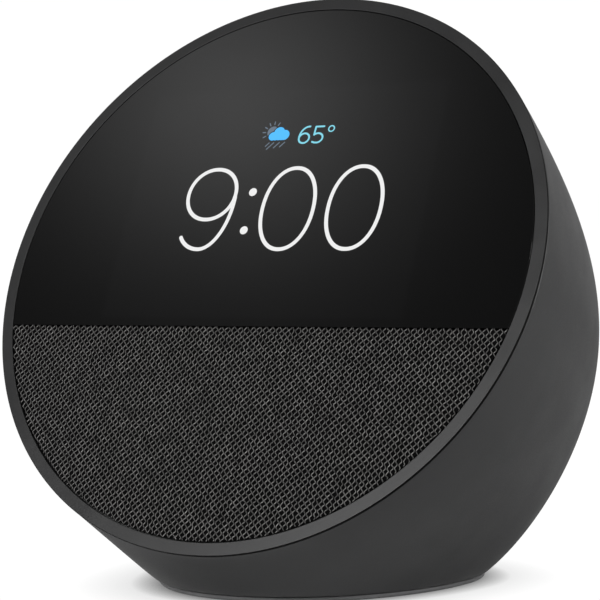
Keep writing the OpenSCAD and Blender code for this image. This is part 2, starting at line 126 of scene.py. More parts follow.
def skin_ends(a):
    """The four control points of the shell's meridian at each rim angle."""
    s = np.sin(a)
    b = a + SWING * np.cos(a)
    reach = np.where(np.sin(b) < 0, BASE_FRONT, BASE_BACK)
    flat = np.zeros_like(a)
    rim = FACE_C + FACE_R * rim_dir(a) - EDGE_DROP * FACE_OUT
    base = np.stack([BASE_HALF_W * np.cos(b), BASE_MID_Y + reach * np.sin(b), flat + FOOT_H], -1)
    out = unit(np.stack([reach * np.cos(b), BASE_HALF_W * np.sin(b), flat], -1))
    span = np.linalg.norm(base - rim, axis=-1)
    lean = np.radians(blend3(LEAVE_ANGLE, s))[..., None]
    rise = np.radians(blend3(RISE_ANGLE, s))[..., None]
    pull_rim = (span * blend3(REACH_RIM, s))[..., None]
    pull_base = (span * blend3(REACH_BASE, s))[..., None]
    from_rim = rim + pull_rim * (rim_dir(a) * np.sin(lean) - FACE_OUT * np.cos(lean))
    up = np.array([0.0, 0.0, 1.0])
    from_base = base + pull_base * (out * np.sin(rise) + up * np.cos(rise))
    return rim, from_rim, from_base, base, out


def skin(a, t):
    """Points of the shell's outer surface: a is the rim angle, t runs from rim to foot."""
    a, t = np.broadcast_arrays(np.asarray(a, float), np.asarray(t, float))
    p0, p1, p2, p3, _ = skin_ends(a)
    t = t[..., None]
    return (1 - t) ** 3 * p0 + 3 * (1 - t) ** 2 * t * p1 + 3 * (1 - t) * t**2 * p2 + t**3 * p3


def skin_normal(a, t):
    """Outward direction of the shell's surface."""
    da, dt = math.radians(0.5), 0.001
    return unit(np.cross(skin(a, t + dt) - skin(a, t - dt), skin(a + da, t) - skin(a - da, t)))


def frame_matrix(origin, x, y, z):
    """Local millimetres to metres of the row frame."""
    m = Matrix.Identity(4)
    for k, axis in enumerate((x, y, z)):
        for r in range(3):
            m[r][k] = axis[r] * MM
    for r in range(3):
        m[r][3] = origin[r] * MM
    return m


UP_ANGLE = math.pi / 2
FACE = frame_matrix(FACE_C, RIGHT, FACE_UP, FACE_OUT)
BUTTON_P = skin(UP_ANGLE, BUTTON_T)
BUTTON_N = skin_normal(UP_ANGLE, BUTTON_T)
BUTTON = frame_matrix(BUTTON_P, RIGHT, np.cross(BUTTON_N, RIGHT), BUTTON_N)
SOCKET_P = skin(UP_ANGLE, SOCKET_T)
BACK = np.array([0.0, 1.0, 0.0])
SOCKET = frame_matrix(SOCKET_P, RIGHT, np.cross(BACK, RIGHT), BACK)
WORLD = frame_matrix(np.zeros(3), RIGHT, BACK, np.array([0.0, 0.0, 1.0]))


# ---- mesh making ----------------------------------------------------------------------------
class Shape:
    """Points and faces of a piece in local millimetres, each face with a finish number."""

    def __init__(self):
        self.points, self.faces, self.finish = [], [], []

    def add(self, points, faces, finish=0):
        """Adds points and the faces on them."""
        start = len(self.points)
        self.points += [tuple(float(c) for c in p) for p in points]
        self.faces += [tuple(start + i for i in f) for f in faces]
        self.finish += [finish] * len(faces)
        return self

    def loft(self, rings, finish=0, caps=True, closed=False):
        """Closed rings of equal length, joined in order. The ends are filled, or joined up."""
        count, n = len(rings[0]), len(rings)
        faces = []
        for j in range(n if closed else n - 1):
            k = (j + 1) % n
            for i in range(count):
                m = (i + 1) % count
                faces.append((j * count + i, j * count + m, k * count + m, k * count + i))
        if caps and not closed:
            faces.append(tuple(range(count - 1, -1, -1)))
            faces.append(tuple((n - 1) * count + i for i in range(count)))
        return self.add([p for ring in rings for p in ring], faces, finish)

    def turned(self, profile, steps=96, finish=0):
        """A closed outline of (radius, height) turned round the local Z axis."""
        return self.loft(circles(profile, steps), finish, closed=True)

    def turned_solid(self, profile, steps=96, centre=(0, 0), finish=0):
        """A capped column of (radius, height) steps round a line along Z."""
        return self.loft(circles(profile, steps, centre), finish)

    def box(self, low, high, bevel, finish=0):
        """A box with its edges cut back by bevel."""
        rings = []
        x0, y0, z0 = low
        x1, y1, z1 = high
        e = bevel
        for z, inset in ((z0, e), (z0 + e, 0), (z1 - e, 0), (z1, e)):
            a, b, c, d = x0 + inset, x1 - inset, y0 + inset, y1 - inset
            ring = [(a + e, c), (b - e, c), (b, c + e), (b, d - e)]
            ring += [(b - e, d), (a + e, d), (a, d - e), (a, c + e)]
            rings.append([(*p, z) for p in ring])
        return self.loft(rings, finish)

    def ribbon(self, line, half, low, high, loop=False, finish=0):
        """A flat stroke of a given half width along a line of (x, y), with round ends."""
        line = np.array(line, float)
        if loop:
            ahead = np.roll(line, -1, 0) - np.roll(line, 1, 0)
        else:
            ahead = np.gradient(line, axis=0)
        side = unit(np.stack([-ahead[:, 1], ahead[:, 0]], -1)) * half
        bevel = min(0.3 * half, 0.06)
        levels = [(1.0, low), (1.0, high - bevel), (1 - bevel / half, high)]
        if not loop:
            ends = []
            for centre, arm in ((line[-1], side[-1]), (line[0], -side[0])):
                turn = [math.pi * (k + 1) / 9 for k in range(8)]
                ends.append([(centre, rotated(arm, -t)) for t in turn])
            pairs = [(p, s) for p, s in zip(line, side)] + ends[0]
            pairs += [(p, -s) for p, s in zip(line[::-1], side[::-1])] + ends[1]
            rings = [[(*(p + s * k), z) for p, s in pairs][::-1] for k, z in levels]
            return self.loft(rings, finish)
        outer = [[(*(p - s * k), z) for p, s in zip(line, side)] for k, z in levels]
        inner = [[(*(p + s * k), z) for p, s in zip(line, side)] for k, z in levels]
        return self.loft(outer + inner[::-1], finish, closed=True)

    def plate(self, outline, low, high, bevel, finish=0):
        """A flat plate with a rounded upper edge; outline(inset) gives its (x, y) points."""
        rings = [[(*p, low) for p in outline(0.0)]]
        for k in range(4):
            turn = math.pi / 2 * k / 3
            inset, z = bevel * (1 - math.cos(turn)), high - bevel * (1 - math.sin(turn))
            rings.append([(*p, z) for p in outline(inset)])
        rings.append([(*p, high) for p in outline(2 * bevel)])
        return self.loft(rings, finish)

    def piece(self, name, place, finishes, body=HOUSING, sharp=32.0, uv=None):
        """The finished object, riding on its body."""
        mesh = bpy.data.meshes.new(name)
        mesh.from_pydata(self.points, [], self.faces)
        for finish in finishes:
            mesh.materials.append(finish)
        mesh.polygons.foreach_set("material_index", self.finish)
        if uv is not None:
            layer = mesh.uv_layers.new(name="face")
            index = np.zeros(len(mesh.loops), np.int32)
            mesh.loops.foreach_get("vertex_index", index)
            flat = np.array(self.points)[index, :2] / uv + 0.5
            layer.data.foreach_set("uv", flat.astype(np.float32).ravel())
        tidy(mesh)
        mesh.transform(place)
        smooth(mesh, sharp)
        return placed(name, mesh, body)


def circles(profile, steps, centre=(0, 0)):
    """Level rings round a centre, one for each (radius, height)."""
    angles = np.linspace(0, 2 * math.pi, steps, endpoint=False)
    x, y = centre
    return [[(x + r * math.cos(a), y + r * math.sin(a), z) for a in angles] for r, z in profile]


def rotated(v, angle):
    """A flat vector turned by an angle."""
    c, s = math.cos(angle), math.sin(angle)
    return np.array([c * v[0] - s * v[1], s * v[0] + c * v[1]])


def tidy(mesh):
    """Turns every face of a closed mesh outwards."""
    bm = bmesh.new()
    bm.from_mesh(mesh)
    bmesh.ops.recalc_face_normals(bm, faces=bm.faces)
    bm.to_mesh(mesh)
    bm.free()


def smooth(mesh, sharp):
    """Smooth shading, with edges over the angle kept sharp."""
    mesh.polygons.foreach_set("use_smooth", [True] * len(mesh.polygons))
    mesh.set_sharp_from_angle(angle=math.radians(sharp))
    mesh.update()


def added(name, data):
    """A new object in the scene for a mesh, light or camera."""
    obj = bpy.data.objects.new(name, data)
    bpy.context.scene.collection.objects.link(obj)
    return obj


def placed(name, mesh, body=HOUSING):
    """An object for the mesh, riding on a body."""
    obj = added(name, mesh)
    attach(obj, body)
    return obj


def plain_mesh(name, shape, place):
    """A closed mesh of a shape at a place, with no finish."""
    mesh = bpy.data.meshes.new(name)
    mesh.from_pydata(shape.points, [], shape.faces)
    mesh.transform(place)
    tidy(mesh)
    return mesh


def evaluated_mesh(obj):
    """A plain mesh of an object with its modifiers applied."""
    bpy.context.view_layer.update()
    graph = bpy.context.evaluated_depsgraph_get()
    return bpy.data.meshes.new_from_object(obj.evaluated_get(graph), depsgraph=graph)


def bend(start, corner, end, shares):
    """Points of a curve that leaves one point, turns at a corner and ends at another."""
    return [(1 - k) ** 2 * start + 2 * (1 - k) * k * corner + k * k * end for k in shares]


def square_mesh(name, half):
    """A flat square with the origin in its middle."""
    mesh = bpy.data.meshes.new(name)
    corners = [(-half, -half, 0), (half, -half, 0), (half, half, 0), (-half, half, 0)]
    mesh.from_pydata(corners, [], [(0, 1, 2, 3)])
    return mesh


def arc(centre, rx, ry, start, end, steps=24):
    """Points of part of an ellipse, in degrees."""
    angles = np.radians(np.linspace(start, end, steps))
    return [(centre[0] + rx * math.cos(a), centre[1] + ry * math.sin(a)) for a in angles]


def rounded(corners, steps):
    """A closed (radius, height) outline; each corner also gives how far it is rounded."""
    points, count = [], len(corners)
    spots = [corner[:2] for corner in corners]
    for i, corner in enumerate(corners):
        here, radius = np.array(spots[i], float), corner[2]
        before, after = np.array(spots[i - 1], float), np.array(spots[(i + 1) % count], float)
        sides = [before - here, after - here]
        reach = min(radius, *(0.45 * np.linalg.norm(side) for side in sides))
        start, end = (here + unit(side) * reach for side in sides)
        shares = [k / steps for k in range(steps + 1)]
        points += [tuple(point) for point in bend(start, here, end, shares)]
    return points


# ---- finishes -------------------------------------------------------------------------------
class Paint:
    """Builds the nodes of one procedural finish."""

    def __init__(self, name):
        self.material = bpy.data.materials.new(name)
        self.material.use_nodes = True
        self.tree = self.material.node_tree
        self.shader = self.tree.nodes["Principled BSDF"]
        self.where = self.node("ShaderNodeTexCoord").outputs["Object"]

    def node(self, kind, **settings):
        """A node with its settings."""
        made = self.tree.nodes.new(kind)
        for key, value in settings.items():
            setattr(made, key, value)
        return made

    def link(self, a, b):
        """Joins an output to an input."""
        self.tree.links.new(a, b)

    def set(self, **values):
        """Constant values on the shader's own sockets."""
        for key, value in values.items():
            socket = key.replace("_", " ").title().replace("Ior", "IOR")
            self.shader.inputs[socket].default_value = value

    def noise(self, size, detail=3.0, stretch=None):
        """Noise whose grains are about size across."""
        found = self.node("ShaderNodeTexNoise", noise_dimensions="3D")
        found.inputs["Scale"].default_value = 1 / size
        found.inputs["Detail"].default_value = detail
        source = self.where
        if stretch:
            turn = self.node("ShaderNodeMapping")
            turn.inputs["Scale"].default_value = stretch
            self.link(source, turn.inputs["Vector"])
            source = turn.outputs["Vector"]
        self.link(source, found.inputs["Vector"])
        return found.outputs["Fac"]

    def cells(self, size):
        """Cells about size across, as a distance."""
        found = self.node("ShaderNodeTexVoronoi")
        found.inputs["Scale"].default_value = 1 / size
        self.link(self.where, found.inputs["Vector"])
        return found.outputs["Distance"]

    def bands(self, size, direction="Z"):
        """Even stripes of a given pitch."""
        found = self.node("ShaderNodeTexWave", bands_direction=direction)
        found.inputs["Scale"].default_value = 2 * math.pi / 20 / size
        found.inputs["Distortion"].default_value = 0.0
        self.link(self.where, found.inputs["Vector"])
        return found.outputs["Fac"]

    def math(self, operation, *values):
        """A math node on numbers or outputs."""
        made = self.node("ShaderNodeMath", operation=operation)
        for i, value in enumerate(values):
            if isinstance(value, (int, float)):
                made.inputs[i].default_value = value
            else:
                self.link(value, made.inputs[i])
        return made.outputs[0]

    def spread(self, value, low, high, start=0.3, end=0.7):
        """A value remapped to a range."""
        made = self.node("ShaderNodeMapRange")
        ends = {"From Min": start, "From Max": end, "To Min": low, "To Max": high}
        for key, number in ends.items():
            made.inputs[key].default_value = number
        self.link(value, made.inputs["Value"])
        return made.outputs["Result"]

    def two(self, factor, first, second):
        """A colour between two, by a factor."""
        made = self.node("ShaderNodeMix", data_type="RGBA")
        self.link(factor, made.inputs["Factor"])
        for key, colour in ((6, first), (7, second)):
            if isinstance(colour, (tuple, list)):
                made.inputs[key].default_value = (*colour[:3], 1.0)
            else:
                self.link(colour, made.inputs[key])
        return made.outputs[2]

    def bump(self, height, depth):
        """Fine relief of a given depth."""
        made = self.node("ShaderNodeBump")
        made.inputs["Strength"].default_value = 1.0
        made.inputs["Distance"].default_value = depth
        self.link(height, made.inputs["Height"])
        return made.outputs["Normal"]

    def surface(self, output):
        """Makes an output the material's surface."""
        self.link(output, self.tree.nodes["Material Output"].inputs["Surface"])

    def finish(self, colour=None, rough=None, normal=None):
        """Links the varying colour, roughness and relief to the shader."""
        for key, value in (("Base Color", colour), ("Roughness", rough), ("Normal", normal)):
            if value is not None:
                self.link(value, self.shader.inputs[key])
        return self.material


def shade(colour, factor):
    """A colour made darker or lighter."""
    return tuple(min(1.0, c * factor) for c in colour[:3])


def moulded(name, colour, rough, grain=0.22, depth=0.006, specular=0.5, drift=0.06):
    """Moulded plastic with a fine eroded texture and slow changes of sheen."""
    p = Paint(name)
    fine = p.noise(grain * MM, 4.0)
    slow = p.noise(9 * MM, 2.0)
    pits = p.cells(grain * 1.7 * MM)
    colour_out = p.two(p.spread(fine, 0, 1), shade(colour, 1 - drift), shade(colour, 1 + drift))
    height = p.math("ADD", fine, p.math("MULTIPLY", pits, 0.5))
    rough_out = p.math(
        "ADD", p.spread(fine, rough - 0.05, rough + 0.05), p.spread(slow, -0.03, 0.03)
    )
    p.set(specular_ior_level=specular)
    return p.finish(colour_out, rough_out, p.bump(height, depth * MM))


def metal(name, colour, rough, brush=(1.0, 1.0, 30.0), grain=0.5):
    """Metal with a brushed or rolled surface."""
    p = Paint(name)
    lines = p.noise(grain * MM, 3.0, stretch=brush)
    stain = p.noise(6 * MM, 2.0)
    p.set(metallic=1.0)
    return p.finish(
        p.two(p.spread(stain, 0, 1), shade(colour, 0.88), shade(colour, 1.05)),
        p.spread(lines, rough - 0.08, rough + 0.1),
        p.bump(lines, 0.004 * MM),
    )


def fibrous(name, colour, size, depth, rough=0.85):
    """Paper, felt, foam or cloth made of short fibres."""
    p = Paint(name)
    fibres = p.noise(size * MM, 5.0, stretch=(1.0, 3.0, 1.0))
    cross = p.noise(size * MM, 5.0, stretch=(3.0, 1.0, 2.0))
    height = p.math("MAXIMUM", fibres, cross)
    p.set(specular_ior_level=0.25)
    return p.finish(
        p.two(p.spread(height, 0, 1, 0.4, 0.75), shade(colour, 0.7), shade(colour, 1.15)),
        p.spread(fibres, rough - 0.08, min(1.0, rough + 0.08)),
        p.bump(height, depth * MM),
    )


def woven(name, colour, pitch, depth):
    """Cloth with crossing threads, with painted shade in the hollows between them."""
    p = Paint(name)
    warp, weft = p.bands(pitch * MM, "X"), p.bands(pitch * MM, "Y")
    over = p.math("MAXIMUM", warp, weft)
    fuzz = p.noise(0.12 * MM, 3.0)
    height = p.math("ADD", over, p.math("MULTIPLY", fuzz, 0.4))
    p.set(specular_ior_level=0.06)
    # Painted shade: the colour falls to half where no thread lies on top, in the hollows of the
    # weave.
    return p.finish(
        p.two(p.spread(over, 0, 1, 0.2, 0.95), shade(colour, 0.5), shade(colour, 1.1)),
        p.spread(fuzz, 0.75, 0.95),
        p.bump(height, depth * MM),
    )


def rubber(name, colour, rough=0.62):
    """Soft rubber with a dusty bloom."""
    p = Paint(name)
    fine, bloom = p.noise(0.3 * MM, 3.0), p.noise(4 * MM, 3.0)
    p.set(specular_ior_level=0.35)
    return p.finish(
        p.two(p.spread(bloom, 0, 1), shade(colour, 0.9), shade(colour, 1.2)),
        p.spread(fine, rough - 0.06, rough + 0.08),
        p.bump(fine, 0.01 * MM),
    )


def board(name, colour):
    """Circuit board with fine traces under its solder mask."""
    p = Paint(name)
    tracks = p.node("ShaderNodeTexBrick")
    tracks.inputs["Scale"].default_value = 1 / (3.2 * MM)
    tracks.inputs["Mortar Size"].default_value = 0.06
    p.link(p.where, tracks.inputs["Vector"])
    lines = tracks.outputs["Fac"]
    fine = p.noise(0.4 * MM, 2.0)
    p.set(coat_weight=0.3)
    return p.finish(
        p.two(lines, colour, shade(colour, 1.9)),
        p.spread(fine, 0.32, 0.45),
        p.bump(lines, 0.02 * MM),
    )


def winding(name, colour, pitch):
    """Copper wire wound side by side, with painted shade in the grooves between turns."""
    p = Paint(name)
    turns = p.bands(pitch * MM, "Z")
    p.set(metallic=1.0)
    # Painted shade: the colour drops to 0.55 in the grooves between turns, where the relief is low.
    return p.finish(
        p.two(turns, shade(colour, 0.55), colour),
        p.spread(p.noise(0.5 * MM), 0.25, 0.4),
        p.bump(turns, 0.05 * MM),
    )


def display_glass(name, colour, picture, border_fade):
    """Deep black cover glass: the picture area under it is a shade lighter than its border."""
    p = Paint(name)
    at = p.node("ShaderNodeUVMap", uv_map="face").outputs["UV"]
    split = p.node("ShaderNodeSeparateXYZ")
    p.link(at, split.inputs[0])
    inside = None
    for key, middle, half in (("X", 0.0, picture[0]), ("Y", picture[2], picture[1])):
        from_middle = p.math("SUBTRACT", split.outputs[key], middle / FACE_UV + 0.5)
        short = p.math("SUBTRACT", half / FACE_UV, p.math("ABSOLUTE", from_middle))
        edge = p.spread(short, 0.0, 1.0, -border_fade / FACE_UV, border_fade / FACE_UV)
        inside = edge if inside is None else p.math("MULTIPLY", inside, edge)
    wipe = p.noise(14 * MM, 4.0)
    p.set(specular_ior_level=0.5, ior=1.5)
    return p.finish(
        p.two(inside, colour, shade(colour, 1.9)),
        p.spread(wipe, 0.035, 0.075),
    )


def lit(name, colour, strength):
    """A lit part of the picture under the glass."""
    p = Paint(name)
    glow = p.noise(0.18 * MM, 2.0)
    p.set(roughness=0.25, emission_strength=strength)
    p.link(
        p.two(p.spread(glow, 0, 1), shade(colour, 0.96), colour),
        p.shader.inputs["Emission Color"],
    )
    return p.finish(p.two(glow, shade(colour, 0.04), shade(colour, 0.06)))


def thread(name, colour):
    """Yarn of the speaker cloth, lighter and darker from fibre to fibre, with painted shade where
    it lies deeper under the face and a painted highlight along its ridge.
    """
    p = Paint(name)
    fibre, patch = p.noise(0.35 * MM, 2.0), p.noise(1.1 * MM, 3.0)
    twist = p.noise(0.16 * MM, 1.0, stretch=(1.0, 4.0, 1.0))
    # Painted shade and highlight: the yarn's colour is scaled by how deep each point lies under the
    # face. A thread is dark on its low sides and where it lies deeper, and bright on its raised
    # ridge.
    level = p.node("ShaderNodeVectorMath", operation="DOT_PRODUCT")
    level.inputs[1].default_value = tuple(FACE_OUT)
    p.link(p.where, level.inputs[0])
    flush = float(FACE_C @ FACE_OUT) * MM
    depth = p.spread(level.outputs["Value"], 0.1, 1.35, flush - CLOTH_DROP * MM, flush - 0.075 * MM)
    depth = p.math("POWER", depth, 3.0)
    tone = p.math("MULTIPLY", p.spread(patch, 0.65, 1.15), p.spread(fibre, 0.5, 1.5, 0.35, 0.68))
    tone = p.math("MULTIPLY", tone, depth)
    mix = p.node("ShaderNodeMix", data_type="RGBA", blend_type="MULTIPLY")
    mix.inputs["Factor"].default_value = 1.0
    mix.inputs[6].default_value = (*colour[:3], 1.0)
    p.link(tone, mix.inputs[7])
    p.set(specular_ior_level=0.2)
    return p.finish(mix.outputs[2], p.spread(twist, 0.55, 0.8), p.bump(twist, 0.02 * MM))


# ---- settings -------------------------------------------------------------------------------
def length(name, description, default):
    """A size in metres."""
    return FloatProperty(name=name, description=description, default=default, unit="LENGTH")


def power(name, default):
    """A light's power."""
    return FloatProperty(name=name, description="Power in W", default=default)


def colour(name, description, default):
    """A linear colour."""
    return FloatVectorProperty(
        name=name, description=description, default=default, subtype="COLOR", size=3, min=0, max=1
    )


class ShellSettings(bpy.types.PropertyGroup):
    """Sizes and colour of the rear shell and the rim"""

    around: IntProperty(name="Stations", description="Points round the shell", default=288)
    along: IntProperty(name="Rows", description="Rows from rim to foot", default=96)
    edge: length("Edge radius", "Rounding of the shell's front edge", 0.00008)
    tint: colour("Shell colour", "Colour of the shell's plastic", (0.0175, 0.0175, 0.018))
    rim_tint: colour("Rim colour", "Colour of the rim's plastic", (0.0116, 0.0116, 0.0119))


class FaceSettings(bpy.types.PropertyGroup):
    """Sizes and colour of the glass and the picture"""

    glass_edge: length("Glass edge", "Rounding of the glass's front edge", 0.00004)
    picture_width: length("Picture width", "Width of the lit picture", 0.064)
    picture_height: length("Picture height", "Height of the lit picture", 0.048)
    picture_rise: length("Picture rise", "Height of its middle over the face's middle", 0.0127)
    stroke: length("Digit stroke", "Width of the clock digits' strokes", 0.00084)
    glass_tint: colour("Glass colour", "Colour of the black glass", (0.0012, 0.0012, 0.00125))
    digit_tint: colour("Digit colour", "Colour of the clock digits", (0.83, 0.83, 0.83))
    cloud_tint: colour("Cloud colour", "Colour of the weather cloud", (0.075, 0.50, 1.0))
    degree_tint: colour("Temperature colour", "Colour of the temperature", (0.22, 0.66, 0.80))
    dim_tint: colour("Sun and rain colour", "Colour of the sun and rain", (0.13, 0.17, 0.22))


class ClothSettings(bpy.types.PropertyGroup):
    """Sizes and colour of the speaker cloth"""

    pitch: length("Net pitch", "Distance between neighbouring threads", 0.000675)
    wave: length("Net wave", "Length of one zigzag of a thread", 0.00128)
    thread_radius: length("Thread radius", "Radius of a thread", 0.000128)
    step: length("Thread step", "Distance between a thread's points", 0.00016)
    wobble: length("Wobble", "How far threads wander", 0.00014)
    tint: colour("Thread colour", "Colour of the threads", (0.101, 0.098, 0.096))
    # Near-black: the backing's own black, and partly painted shade for the depth seen through the
    # net's openings.
    backing_tint: colour("Backing colour", "Colour behind the threads", (0.0018, 0.0018, 0.0018))


class ButtonSettings(bpy.types.PropertyGroup):
    """Sizes of the three buttons"""

    radius: length("Button radius", "Radius of a button cap", 0.0042)
    pitch: length("Button pitch", "Distance between the buttons", 0.014)
    proud: length("Button height", "Height of a cap over the shell", 0.0004)
    mark: length("Mark height", "Height of the raised marks", 0.0001)


class StudioSettings(bpy.types.PropertyGroup):
    """Camera and lights"""

    lens: FloatProperty(name="Lens", description="Focal length in mm", default=115.76)
    right: power("Right light", 6.5)
    left: power("Left light", 2.4)
    front: power("Narrow front light", 3.4)
    wide: power("Wide front light", 2.4)
    back: power("Back light", 0.6)
    card: FloatProperty(name="Card glow", description="Glow of the reflected card", default=1.04)
    ambient: FloatProperty(name="Ambient", description="Light from all around", default=0.03)
    around: FloatProperty(name="Surroundings", description="Glow in reflections", default=0.5)


class DisplaySettings(bpy.types.PropertyGroup):
    """All settings of the display"""

    shell: PointerProperty(type=ShellSettings)
    face: PointerProperty(type=FaceSettings)
    cloth: PointerProperty(type=ClothSettings)
    buttons: PointerProperty(type=ButtonSettings)
    studio: PointerProperty(type=StudioSettings)


def settings():
    """The scene's display settings."""
    return bpy.context.scene.round_display


def shared(name, make, *args, **kwargs):
    """A finish by name, made the first time it is asked for."""
    return bpy.data.materials.get(name) or make(name, *args, **kwargs)


def shell_finish():
    """Charcoal plastic of the shell."""
    return shared("matte charcoal shell", moulded, settings().shell.tint[:], 0.46, specular=0.42)


# ---- outlines -------------------------------------------------------------------------------
def face_segment(radius, above, inset=0.0, gap=0.05, arc_steps=160, chord_steps=60):
    """Outline of the face's part above or below its split line, anticlockwise."""
    r = radius - inset
    y = SPLIT_Y + SPLIT_RISE + (0.2 * inset if above else -gap - inset)
    start = math.asin(y / r)
    ends = (start, math.pi - start) if above else (math.pi - start, 2 * math.pi + start)
    angles = np.linspace(*ends, arc_steps)
    x_end = r * math.cos(ends[1])
    chord = np.linspace(x_end, -x_end, chord_steps + 2)[1:-1]
    return [(r * math.cos(a), r * math.sin(a)) for a in angles] + [(x, y) for x in chord]


def foot_outline(inset, count=240):
    """Egg outline of the foot, set in by some distance."""
    angles = np.linspace(0, 2 * math.pi, count, endpoint=False)
    reach = np.where(np.sin(angles) < 0, BASE_FRONT, BASE_BACK) - inset
    x = (BASE_HALF_W - inset) * np.cos(angles)
    return list(zip(x, BASE_MID_Y + reach * np.sin(angles)))


def union_reach(centre, angle, circles):
    """Distance from a centre to the far side of a union of circles, along a direction."""
    d = np.array([math.cos(angle), math.sin(angle)])
    best = 0.0
    for x, y, r in circles:
        v = np.array([x, y]) - centre
        along = v @ d
        off = r * r - (v @ v - along * along)
        if off > 0:
            best = max(best, along + math.sqrt(off))
    return best


# ---- operators ------------------------------------------------------------------------------
class DISPLAY_OT_rear_shell(bpy.types.Operator):
    """Build the domed rear shell with its button, microphone and socket holes"""

    bl_idname = "round_display.rear_shell"
    bl_label = "Rear shell"

    def execute(self, context):
        s = settings().shell
        edge = s.edge / MM
        a = np.linspace(0, 2 * math.pi, s.around, endpoint=False)
        rim = FACE_C + FACE_R * rim_dir(a) - EDGE_DROP * FACE_OUT
        out = skin_ends(a)[4]
        base = skin(a, 1.0)
        recess, lip = RECESS * FACE_OUT, LIP * rim_dir(a)
        rings = [rim - WALL * rim_dir(a) - recess, rim - lip - recess, rim - lip - 0.1 * FACE_OUT]
        first, last = 0.0025, 0.99
        start = skin(a, first)
        corner_in = rim - edge * rim_dir(a)
        rings += bend(corner_in, rim, start, (0, 0.33, 0.66))
        rings += [skin(a, t) for t in np.linspace(first, last, s.along)]
        rings += bend(rings[-1], base, base - FOOT_EDGE * out, (0.3, 0.6, 1))
        rings += [skin(a, t) - WALL * skin_normal(a, t) for t in np.linspace(0.985, 0.03, 40)]
        shape = Shape().loft([list(r) for r in rings], closed=True)
        blank = added("shell_blank", plain_mesh("shell_blank", shape, Matrix.Identity(4)))
        cutters = Shape()
        pitch = settings().buttons.pitch / MM
        hole_r = settings().buttons.radius / MM + BUTTON_GAP
        for side in (-1, 0, 1):
            x, y, _ = cap_seat(side)
            cutters.turned_solid([(hole_r, -7), (hole_r, 7)], centre=(x, y))
        for x in (-pitch / 2, pitch / 2):
            cutters.turned_solid([(0.5, -6), (0.5, 4)], steps=32, centre=(x, 0))
        port = Shape().turned_solid([(6.3, -12), (6.3, 12)])
        for name, cutter, place in (("holes", cutters, BUTTON), ("port", port, SOCKET)):
            modifier = blank.modifiers.new("cut", "BOOLEAN")
            modifier.object = added(name, plain_mesh(name, cutter, WORLD.inverted() @ place))
            modifier.solver = "EXACT"
        result = evaluated_mesh(blank)
        for name in ("shell_blank", "holes", "port"):
            bpy.data.objects.remove(bpy.data.objects[name])
        result.name = "rear_shell_skin"
        result.transform(WORLD)
        result.materials.clear()
        result.materials.append(shell_finish())
        smooth(result, 34)
        made = placed("shell", result)
        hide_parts("rear_shell")
        return {"FINISHED"}


def cap_angle(side):
    """Rim angle of a button, -1 left, 0 middle, 1 right."""
    pitch = settings().buttons.pitch / MM
    return UP_ANGLE - side * math.asin(pitch / FACE_R) * 1.02


def cap_seat(side):
    """Place of a button's middle on the shell, in the button frame."""
    at = BUTTON.inverted() @ Vector(skin(cap_angle(side), BUTTON_T) * MM)
    return side * settings().buttons.pitch / MM, at.y, at.z


class DISPLAY_OT_rim(bpy.types.Operator):
    """Build the flat rim round the face"""

    bl_idname = "round_display.rim"
    bl_label = "Rim"

    def execute(self, context):
        inner, ledge, neck = FACE_R - RIM_W, 52.4, FACE_R - RIM_W + 0.25
        under, shelf, foot = -0.42, -1.3, -2.2
        outline = [(inner, 0, 0.08), (FACE_R - RIM_SEAM, 0, 0.02), (FACE_R, -0.22, 0.03)]
        outline += [(FACE_R - 0.7, under, 0.1), (neck, under, 0.05), (neck, foot, 0.1)]
        outline += [(ledge, foot, 0.1), (ledge, shelf, 0.1), (inner, shelf, 0.1)]
        profile = rounded(outline, 4)
        tint = settings().shell.rim_tint[:]
        finish = shared("matte charcoal rim", moulded, tint, 0.36, specular=0.45)
        # Painted shade: the rim's side and underside, down in the gap to the shell, get a
        # near-black finish that stands in for the shadow in that gap.
        gap_shade = shared("black seam", moulded, (0.0015, 0.0015, 0.0015), 0.7, specular=0.1)
        shape = Shape().turned(profile, 360)
        dark = [z < -0.001 and math.hypot(x, y) > inner + 0.2 for x, y, z in shape.points]
        shape.finish = [int(all(dark[k] for k in face)) for face in shape.faces]
        made = shape.piece("rim", FACE, [finish, gap_shade], sharp=4)
        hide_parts("rim_ring")
        return {"FINISHED"}


class DISPLAY_OT_cover_glass(bpy.types.Operator):
    """Build the black cover glass over the picture"""

    bl_idname = "round_display.cover_glass"
    bl_label = "Cover glass"

    def execute(self, context):
        s = settings().face
        half = (s.picture_width / MM / 2, s.picture_height / MM / 2, s.picture_rise / MM)
        finish = shared("black cover glass", display_glass, s.glass_tint[:], half, 0.25)
        shape = Shape().plate(
            lambda inset: face_segment(GLASS_R, True, inset), -1.15, PANEL_Z, s.glass_edge / MM
        )
        made = shape.piece("glass", FACE, [finish], sharp=20, uv=FACE_UV)
        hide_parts("cover_glass")
        return {"FINISHED"}


